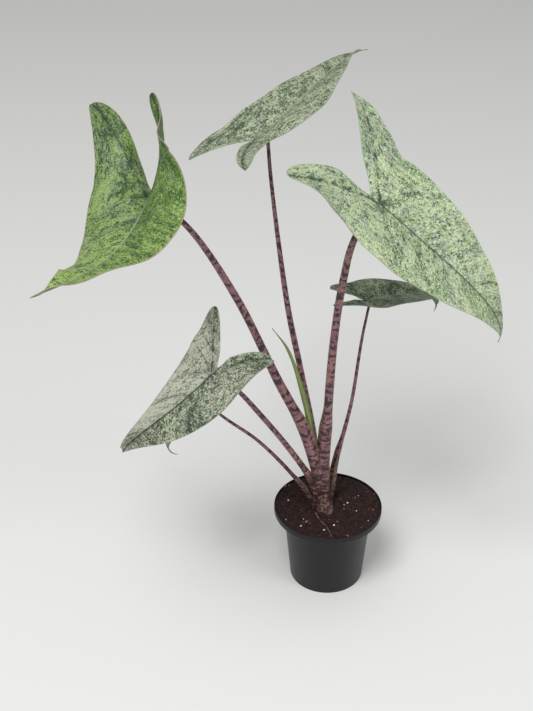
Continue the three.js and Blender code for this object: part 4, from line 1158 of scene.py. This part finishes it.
def rounded(outline, radius, steps=5):
    """The outline with each inner corner turned into a small arc."""
    path = [outline[0]]
    for a, b, c in zip(outline[:-2], outline[1:-1], outline[2:]):
        a, b, c = (np.array(p, float) for p in (a, b, c))
        reach = min(radius, ARC_SHARE * np.linalg.norm(a - b), ARC_SHARE * np.linalg.norm(c - b))
        start, end = b + unit(a - b) * reach, b + unit(c - b) * reach
        for t in np.linspace(0, 1, steps):
            path.append(tuple((1 - t) ** 2 * start + 2 * t * (1 - t) * b + t ** 2 * end))
    return path + [outline[-1]]


def pot_outline():
    """Half of the pot's section, from its floor's underside over the rim to its floor."""
    rim, wall, base, floor = POT["rim"], POT["wall"], POT["base"], POT["floor"]
    band, shoulder, step = POT["height"] - POT["band"], POT["shoulder"], POT["shoulderHeight"]
    foot, rise = base - POT["footWidth"], POT["innerRise"]
    return [
        (0, POT["footRise"]), (foot - POT["footSlope"], POT["footRise"]), (foot, 0), (base, 0),
        (shoulder, step), (rim - POT["slopeWidth"], band - POT["slopeDrop"]), (rim, band),
        (rim, POT["height"]), (rim - wall, POT["height"]), (rim - wall, band + rise),
        (shoulder - wall, step + rise), (base - wall, floor), (0, floor),
    ]


def build_pot(settings):
    """The moulded shell with its wide rim band and shoulder, a foot ring and drain holes."""
    outline = rounded(pot_outline(), POT["edge"])
    pot = spin_profile("nursery_pot", outline, POT["segments"], [pot_material(settings)],
                       POT["crease"])
    drill = [make_drill(turn) for turn in range(DRAIN["count"])]
    for cutter in drill:
        modifier = pot.modifiers.new("drain", "BOOLEAN")
        modifier.operation, modifier.solver, modifier.object = "DIFFERENCE", "EXACT", cutter
    pot.data = evaluated_mesh(pot)
    pot.modifiers.clear()
    for cutter in drill:
        bpy.data.objects.remove(cutter)
    pot.data.set_sharp_from_angle(angle=math.radians(POT["crease"]))
    return pot


def make_drill(turn):
    """The cutter of one drain hole."""
    angle = 2 * math.pi * turn / DRAIN["count"]
    x, y = DRAIN["ring"] * math.cos(angle), DRAIN["ring"] * math.sin(angle)
    low, high, radius = DRAIN["low"], DRAIN["high"], DRAIN["radius"]
    outline = [(0, low), (radius, low), (radius, high), (0, high)]
    cutter = spin_profile("drill", outline, DRAIN["segments"], [], CREASE["drill"])
    for vertex in cutter.data.vertices:
        vertex.co.x += x * MM
        vertex.co.y += y * MM
    return cutter


def evaluated_mesh(piece):
    """The plain mesh that an object's modifiers make."""
    bpy.context.view_layer.update()
    evaluated = piece.evaluated_get(bpy.context.evaluated_depsgraph_get())
    return bpy.data.meshes.new_from_object(evaluated)


def soil_height(x, y):
    """The mix's mean surface, as the CAD model has it."""
    length = SOIL["reliefLength"]
    centre = 1 - (np.hypot(x, y) / POT["rim"]) ** 2
    across = np.sin(2 * np.pi * y / (SOIL["reliefStretch"] * length) + 2)
    bumps = np.sin(2 * np.pi * x / length + 1) * across
    return (SOIL["edge"] + SOIL["mound"] * centre
            + SOIL["relief"] * bumps * np.minimum(1, 2 * centre))


def fine_relief(x, y):
    """Lumps of mix: sine ridges in random directions, the finer the lower."""
    draw = random.Random(LUMPS["seed"])
    longest = LUMPS["longest"]
    total = np.zeros_like(x)
    for _ in range(LUMPS["count"]):
        length = draw.uniform(LUMPS["shortest"], longest)
        angle, start = draw.uniform(0, math.pi), draw.uniform(0, 2 * math.pi)
        along = x * math.cos(angle) + y * math.sin(angle)
        total += length / longest * np.sin(2 * math.pi * along / length + start)
    return total / LUMPS["lowered"]


def ring_points(radii, sides):
    """Where rings of points lie in plan."""
    turns = np.linspace(0, 2 * np.pi, sides, endpoint=False)
    return radii[:, None] * np.cos(turns), radii[:, None] * np.sin(turns)


def build_soil(settings):
    """The whole plug of mix, whose top is lumpy and lies just inside the rim."""
    rings, sides = SOIL["rings"], SOIL["sides"]
    top = POT["rim"] - POT["wall"] - SOIL["rimGap"]
    x, y = ring_points(np.linspace(0, 1, rings + 1)[1:] * top, sides)
    calm = np.minimum(1, (top - np.hypot(x, y)) / LUMPS["calmWidth"] + LUMPS["calmLeast"])
    z = soil_height(x, y) + LUMPS["height"] * fine_relief(x, y) * calm
    points = [(0, 0, float(soil_height(0, 0)))] + np.dstack([x, y, z]).reshape(-1, 3).tolist()
    space, floor = POT["wall"] + SOIL["wallGap"], POT["floor"] + SOIL["floorRise"]
    lower = [(top, POT["height"] - POT["band"] + SOIL["bandRise"]),
             (POT["shoulder"] - space, POT["shoulderHeight"] + SOIL["shoulderRise"]),
             (POT["base"] - space, floor)]
    for radius, height in lower:
        x, y = ring_points(np.array([radius]), sides)
        points += np.dstack([x, y, np.full_like(x, height)]).reshape(-1, 3).tolist()
    points.append((0, 0, floor))
    faces = [[0, 1 + k, 1 + (k + 1) % sides] for k in range(sides)]
    for r in range(rings + len(lower) - 1):
        a = 1 + r * sides
        faces += [[a + k, a + sides + k, a + sides + (k + 1) % sides, a + (k + 1) % sides]
                  for k in range(sides)]
    last = 1 + (rings + len(lower) - 1) * sides
    faces += [[last + k, len(points) - 1, last + (k + 1) % sides] for k in range(sides)]
    return make_mesh("coir_mix", np.array(points) * MM, faces, [soil_material(settings)], None,
                     CREASE["mix"])


def crumb_shape(name, seed, stretch, size=1.0):
    """A low lump with a few dozen faces, one millimetre across before its stretch."""
    mesh = bpy.data.meshes.new(name)
    work = bmesh.new()
    bmesh.ops.create_icosphere(work, subdivisions=1, radius=0.5 * size * MM)
    draw = random.Random(seed)
    bend = THREAD_BEND * (stretch[0] > THREAD_STRETCH)
    for vertex in work.verts:
        push = draw.uniform(*CRUMB_PUSH)
        vertex.co = [c * s * push for c, s in zip(vertex.co, stretch)]
        vertex.co.z += bend * abs(vertex.co.x) * draw.choice((-1, 1))
    work.to_mesh(mesh)
    work.free()
    return bpy.data.objects.new(name, mesh)


def scatter_tree(name, shapes, material):
    """Geometry nodes that strew shapes over a surface, each turned and sized by chance."""
    tree = bpy.data.node_groups.new(name, "GeometryNodeTree")
    face = tree.interface
    face.new_socket("Geometry", in_out="INPUT", socket_type="NodeSocketGeometry")
    for label in ("Density", "Smallest", "Largest", "Tilt"):
        face.new_socket(label, in_out="INPUT", socket_type="NodeSocketFloat")
    face.new_socket("Seed", in_out="INPUT", socket_type="NodeSocketInt")
    face.new_socket("Geometry", in_out="OUTPUT", socket_type="NodeSocketGeometry")
    graph = Graph(tree)
    given = graph.node("NodeGroupInput").socket.node.outputs
    value = {socket.name: Wire(graph, socket) for socket in given}
    ground = {"Mesh": value["Geometry"], "Density": value["Density"], "Seed": value["Seed"]}
    points = graph.node("GeometryNodeDistributePointsOnFaces", None, ground, "Points")
    choice = graph.node("GeometryNodeJoinGeometry")
    for shape in shapes:
        sockets = {"Object": shape, "As Instance": True}
        info = graph.node("GeometryNodeObjectInfo", None, sockets, "Geometry")
        tree.links.new(info.socket, choice.socket.node.inputs[0])
    reach = graph.node("ShaderNodeCombineXYZ", None, {0: value["Tilt"], 1: value["Tilt"], 2: math.pi})
    back = graph.node("ShaderNodeVectorMath", {"operation": "SCALE"}, {0: reach, "Scale": -1})
    spin = graph.node("FunctionNodeRandomValue", {"data_type": "FLOAT_VECTOR"},
                      {0: back, 1: reach, "Seed": value["Seed"]})
    grow = graph.node("FunctionNodeRandomValue", {"data_type": "FLOAT"},
                      {2: value["Smallest"], 3: value["Largest"], "Seed": value["Seed"]}, 1)
    placing = {"Points": points, "Instance": choice, "Pick Instance": True, "Rotation": spin,
               "Scale": grow}
    placed = graph.node("GeometryNodeInstanceOnPoints", None, placing)
    real = graph.node("GeometryNodeRealizeInstances", None, {0: placed})
    painted = graph.node("GeometryNodeSetMaterial", None, {0: real, "Material": material})
    graph.node("NodeGroupOutput", None, {0: painted})
    return tree


def strew(name, material, density, seed):
    """Strews loose bits over the mix, clear of the rim, as one plain mesh."""
    kind = LOOSE[name]
    shapes = [crumb_shape(name + "_shape", kind["seed"] + n, kind["stretch"])
              for n in range(kind["shapes"])]
    smallest, largest = kind["sizes"]
    values = {"Density": density, "Smallest": smallest, "Largest": largest, "Tilt": kind["tilt"],
              "Seed": seed}
    ground = scatter_ground()
    tree = scatter_tree(name, shapes, material)
    modifier = ground.modifiers.new(name, "NODES")
    modifier.node_group = tree
    for item in tree.interface.items_tree:
        if item.in_out == "INPUT" and item.name in values:
            modifier[item.identifier] = values[item.name]
    mesh = evaluated_mesh(ground)
    for used in [ground] + shapes:
        bpy.data.objects.remove(used)
    return show(bpy.data.objects.new(name, mesh))


def scatter_ground():
    """The part of the mix's top that loose bits lie on."""
    sides = STREWN["sides"]
    inside = POT["rim"] - POT["wall"] - STREWN["inside"]
    radii = np.linspace(STREWN["from"], 1, STREWN["rings"]) * inside
    x, y = ring_points(radii, sides)
    z = soil_height(x, y) + LUMPS["height"] * fine_relief(x, y)
    points = np.dstack([x, y, z]).reshape(-1, 3) * MM
    faces = [[r * sides + k, (r + 1) * sides + k, (r + 1) * sides + (k + 1) % sides,
              r * sides + (k + 1) % sides] for r in range(len(radii) - 1) for k in range(sides)]
    mesh = bpy.data.meshes.new("ground")
    mesh.from_pydata(points.tolist(), [], faces)
    return show(bpy.data.objects.new("ground", mesh))


def build_spots(name, material, spots, stretch, seed):
    """Single bits that lie where the photograph shows them, a little sunk in."""
    draw = random.Random(seed)
    points, faces = [], []
    for number, (x, y, size) in enumerate(spots):
        shape = crumb_shape(name + "_shape", seed + number, stretch, size)
        angle = draw.uniform(0, math.pi)
        c, s = math.cos(angle), math.sin(angle)
        start = len(points)
        z = float(soil_height(x, y)) + SPOT_RISE * size
        for v in shape.data.vertices:
            points.append((v.co.x * c - v.co.y * s + x * MM, v.co.x * s + v.co.y * c + y * MM,
                           v.co.z + z * MM))
        faces += [[start + i for i in f.vertices] for f in shape.data.polygons]
        bpy.data.objects.remove(shape)
    return make_mesh(name, points, faces, [material], None, CREASE["bits"])


# Settings that a user would change
class PotSettings(bpy.types.PropertyGroup):
    colour: bpy.props.FloatVectorProperty(
        name="Colour", description="Colour of the plastic", subtype="COLOR", size=3, min=0, max=1,
        default=(0.004, 0.004, 0.0048))
    roughness: bpy.props.FloatProperty(
        name="Roughness", description="How dull the plastic is", default=0.34, min=0, max=1,
        subtype="FACTOR")


class MixSettings(bpy.types.PropertyGroup):
    crumbs: bpy.props.FloatProperty(
        name="Crumbs", description="Crumbs of coir on each square metre", default=260000.0, min=0)
    fibres: bpy.props.FloatProperty(
        name="Fibres", description="Loose fibres on each square metre", default=52000.0, min=0)
    perlite: bpy.props.FloatProperty(
        name="Fine perlite", description="Fine perlite grains on each square metre", default=2600.0,
        min=0)
    seed: bpy.props.IntProperty(name="Seed", description="Draw of the loose bits", default=7)
    root_radius: length_setting("Root radius", "Radius of the root on the surface", 0.7)
    coir: colour_setting("Coir", "Lighter colour of the mix", "#2f1917")
    crumb: colour_setting("Crumb", "Lighter colour of the crumbs", "#371d18")
    fibre: colour_setting("Fibre", "Lighter colour of the fibres", "#66392c")
    white: colour_setting("Perlite", "Lighter colour of the perlite", "#fbfaf8")
    bark: colour_setting("Bark", "Lighter colour of the bark bits", "#c27a4a")
    root: colour_setting("Root", "Lighter colour of the root on the surface", "#967263")


class PlantSettings(bpy.types.PropertyGroup):
    thickness: length_setting("Blade thickness", "Thickness of the blades", 0.7)
    rib_height: length_setting("Rib height", "How far the midribs stand out underneath", 1.7)
    groove: length_setting("Groove depth", "How deep the veins lie in the upper side", 0.35)
    puff: length_setting("Puff height", "How far the blade rises between its laterals", 0.9)
    speckle: bpy.props.FloatProperty(
        name="Speckle", description="Share of specks and flecks, 1 as photographed", default=1.0,
        min=0, max=1.3)
    pattern: bpy.props.FloatProperty(
        name="Pattern", description="Shifts the speckles from blade to blade", default=0.37)
    cream: colour_setting("Cream", "Colour of the pale half", "#dadbc8")
    rich: colour_setting("Rich green", "Colour of the deep green half", "#4c6e20")
    young: colour_setting("Young green", "Colour of the young blade towards its tip", "#98b35e")
    new_leaf: colour_setting("New leaf", "Lighter colour of the rolled leaf", "#6b7f36")
    stalk_light: colour_setting("Stalk, light", "Lighter colour of the stalks", "#966c6c")
    stalk_deep: colour_setting("Stalk, deep", "Deeper colour of the stalks", "#7c525d")
    stalk_bars: colour_setting("Stalk bars", "Colour of the bars across the stalks", "#241015")


class StageSettings(bpy.types.PropertyGroup):
    floor: bpy.props.FloatVectorProperty(
        name="Floor", description="Colour of the floor", subtype="COLOR", size=3, min=0, max=1,
        default=(0.78, 0.78, 0.77))
    key: bpy.props.FloatProperty(name="Key light", description="Power", default=92.0, unit="POWER")
    fill: bpy.props.FloatProperty(name="Fill light", description="Power", default=22.0, unit="POWER")
    sky: bpy.props.FloatProperty(
        name="Sky", description="Strength of the light from all round", default=0.42, min=0)


class ALOCASIA_OT_stage(bpy.types.Operator):
    """Makes the floor, the soft lights and the camera."""

    bl_idname = "alocasia.stage"
    bl_label = "Stage"

    def execute(self, context):
        settings = context.scene.alocasia_stage
        self.add_floor(settings)
        for name, power in (("key", settings.key), ("fill", settings.fill)):
            self.add_light(name, STAGE[name], power)
        self.add_camera(context.scene)
        world = bpy.data.worlds.new("studio")
        world.use_nodes = True
        background = world.node_tree.nodes["Background"]
        background.inputs["Color"].default_value = (1, 1, 1, 1)
        background.inputs["Strength"].default_value = settings.sky
        context.scene.world = world
        context.scene.view_settings.view_transform = "Standard"
        return {"FINISHED"}

    def add_floor(self, settings):
        """Adds the pale floor under the pot."""
        half = STAGE["floor"]
        mesh = bpy.data.meshes.new("floor")
        corners = [(-half, -half, 0), (half, -half, 0), (half, half, 0), (-half, half, 0)]
        mesh.from_pydata(corners, [], [[0, 1, 2, 3]])
        mesh.materials.append(Paint("pale_floor").finish(colour_of(settings.floor), 0.9))
        show(bpy.data.objects.new("floor", mesh))

    def add_light(self, name, place, power):
        """Adds a round soft lamp that points at the plant."""
        lamp = bpy.data.lights.new(name, "AREA")
        lamp.energy, lamp.size, lamp.shape = power, STAGE["lamp"], "DISK"
        light = show(bpy.data.objects.new(name, lamp))
        light.location = place
        x, y, z = np.array(STAGE["aim"]) - np.array(place)
        light.rotation_euler = (math.atan2(math.hypot(x, y), -z), 0, math.atan2(y, x) - math.pi / 2)

    def add_camera(self, scene):
        """Adds the camera of the photograph's view."""
        lens = bpy.data.cameras.new("camera")
        lens.lens, lens.sensor_width = STANDING_VIEW["lens"], STANDING_VIEW["sensor"]
        camera = show(bpy.data.objects.new("camera", lens))
        camera.location = STANDING_VIEW["place"]
        camera.rotation_euler = (math.radians(90 - STANDING_VIEW["down"]), 0, 0)
        scene.camera = camera


class ALOCASIA_OT_pot(bpy.types.Operator):
    """Makes the nursery pot."""

    bl_idname = "alocasia.pot"
    bl_label = "Pot"

    def execute(self, context):
        settle(build_pot(context.scene.alocasia_pot), "pot", "pot")
        return {"FINISHED"}


class ALOCASIA_OT_mix(bpy.types.Operator):
    """Makes the potting mix with its crumbs, fibres, perlite and bark."""

    bl_idname = "alocasia.mix"
    bl_label = "Potting mix"

    def execute(self, context):
        settings = context.scene.alocasia_mix
        settle(build_soil(settings), "soil", "soil")
        coir = crumb_material("coir_crumb", "#130a09", colour_of(settings.crumb), 0.85)
        fibre = crumb_material("coir_fibre", "#2f1915", colour_of(settings.fibre), 0.75)
        white = crumb_material("perlite", "#dcd8d2", colour_of(settings.white), 0.8)
        bark = crumb_material("bark", "#8a4a2c", colour_of(settings.bark), 0.75)
        loose = (("coir_crumbs", coir, settings.crumbs), ("coir_fibres", fibre, settings.fibres),
                 ("fine_perlite", white, settings.perlite))
        for number, (name, material, density) in enumerate(loose):
            settle(strew(name, material, density, settings.seed + number), "soil")
        for name, material in (("perlite_grains", white), ("bark_bits", bark)):
            settle(build_spots(name, material, **SPOTS[name]), "soil")
        return {"FINISHED"}


class ALOCASIA_OT_roots(bpy.types.Operator):
    """Makes the root on the surface and finishes the rootstock inside the mix."""

    bl_idname = "alocasia.roots"
    bl_label = "Roots"

    def execute(self, context):
        settle(build_surface_root(context.scene.alocasia_mix), "root", "surface_root")
        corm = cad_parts["rootstock"]
        corm.data.materials.clear()
        corm.data.materials.append(crumb_material("corm_skin", "#4a3229", linear("#8a6a55"), 0.75))
        return {"FINISHED"}


class ALOCASIA_OT_blades(bpy.types.Operator):
    """Makes the six blades."""

    bl_idname = "alocasia.blades"
    bl_label = "Blades"

    def execute(self, context):
        plant = context.scene.alocasia_plant
        for number, (name, leaf) in enumerate(LEAVES.items(), 1):
            look = BLADE_LOOKS[name]
            piece = build_blade(name + "_leaf", leaf, look, plant.pattern * number, plant)
            settle(piece, look["slot"], name + "_blade")
        return {"FINISHED"}


class ALOCASIA_OT_stalks(bpy.types.Operator):
    """Makes the six stalks with their sheaths."""

    bl_idname = "alocasia.stalks"
    bl_label = "Stalks"

    def execute(self, context):
        material = stalk_material(context.scene.alocasia_plant)
        for number, (name, leaf) in enumerate(LEAVES.items()):
            piece = build_round(name + "_petiole", lowered(leaf["stalk"]), leaf["stations"], material,
                                STALK_GRID["rings"], STALK_GRID["sides"],
                                seed=number * STALK_GRID["pattern"])
            settle(piece, "stalk", name + "_stalk")
        return {"FINISHED"}


class ALOCASIA_OT_young_and_old(bpy.types.Operator):
    """Makes the rolled new leaf and the old scale at the foot."""

    bl_idname = "alocasia.young_and_old"
    bl_label = "New leaf and old scale"

    def execute(self, context):
        settle(build_new_leaf(context.scene.alocasia_plant), "new_leaf", "new_leaf")
        scale = build_round("pointed_scale", OLD_SCALE["path"], OLD_SCALE["stations"],
                            old_scale_material(), OLD_SCALE["rings"], OLD_SCALE["sides"])
        settle(scale, "old_scale", "old_scale")
        return {"FINISHED"}


class ALOCASIA_PT_panel(bpy.types.Panel):
    """Lists the plant's pieces."""

    bl_idname = "ALOCASIA_PT_panel"
    bl_label = "Potted alocasia"
    bl_space_type = "VIEW_3D"
    bl_region_type = "UI"
    bl_category = "Alocasia"

    def draw(self, context):
        for settings, operators in GROUPS:
            box = self.layout.box()
            group = getattr(context.scene, settings)
            for key in group.__annotations__:
                box.prop(group, key)
            for operator in operators:
                box.operator(operator.bl_idname)


SETTINGS = {"alocasia_stage": StageSettings, "alocasia_pot": PotSettings,
            "alocasia_mix": MixSettings, "alocasia_plant": PlantSettings}
GROUPS = (
    ("alocasia_stage", (ALOCASIA_OT_stage,)),
    ("alocasia_pot", (ALOCASIA_OT_pot,)),
    ("alocasia_mix", (ALOCASIA_OT_mix, ALOCASIA_OT_roots)),
    ("alocasia_plant", (ALOCASIA_OT_blades, ALOCASIA_OT_stalks, ALOCASIA_OT_young_and_old)),
)
CLASSES = tuple(SETTINGS.values()) + sum((group[1] for group in GROUPS), ()) + (ALOCASIA_PT_panel,)


def register():
    """Registers the classes and gives the scene their settings."""
    for kind in CLASSES:
        bpy.utils.register_class(kind)
    for name, kind in SETTINGS.items():
        setattr(bpy.types.Scene, name, bpy.props.PointerProperty(type=kind))


def unregister():
    """Takes the settings and the classes away again."""
    for name in SETTINGS:
        delattr(bpy.types.Scene, name)
    for kind in reversed(CLASSES):
        bpy.utils.unregister_class(kind)


def main():
    """Makes every piece in order."""
    register()
    for _, operators in GROUPS:
        for operator in operators:
            group, name = operator.bl_idname.split(".")
            getattr(getattr(bpy.ops, group), name)()
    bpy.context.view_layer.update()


if __name__ == "__main__":
    main()
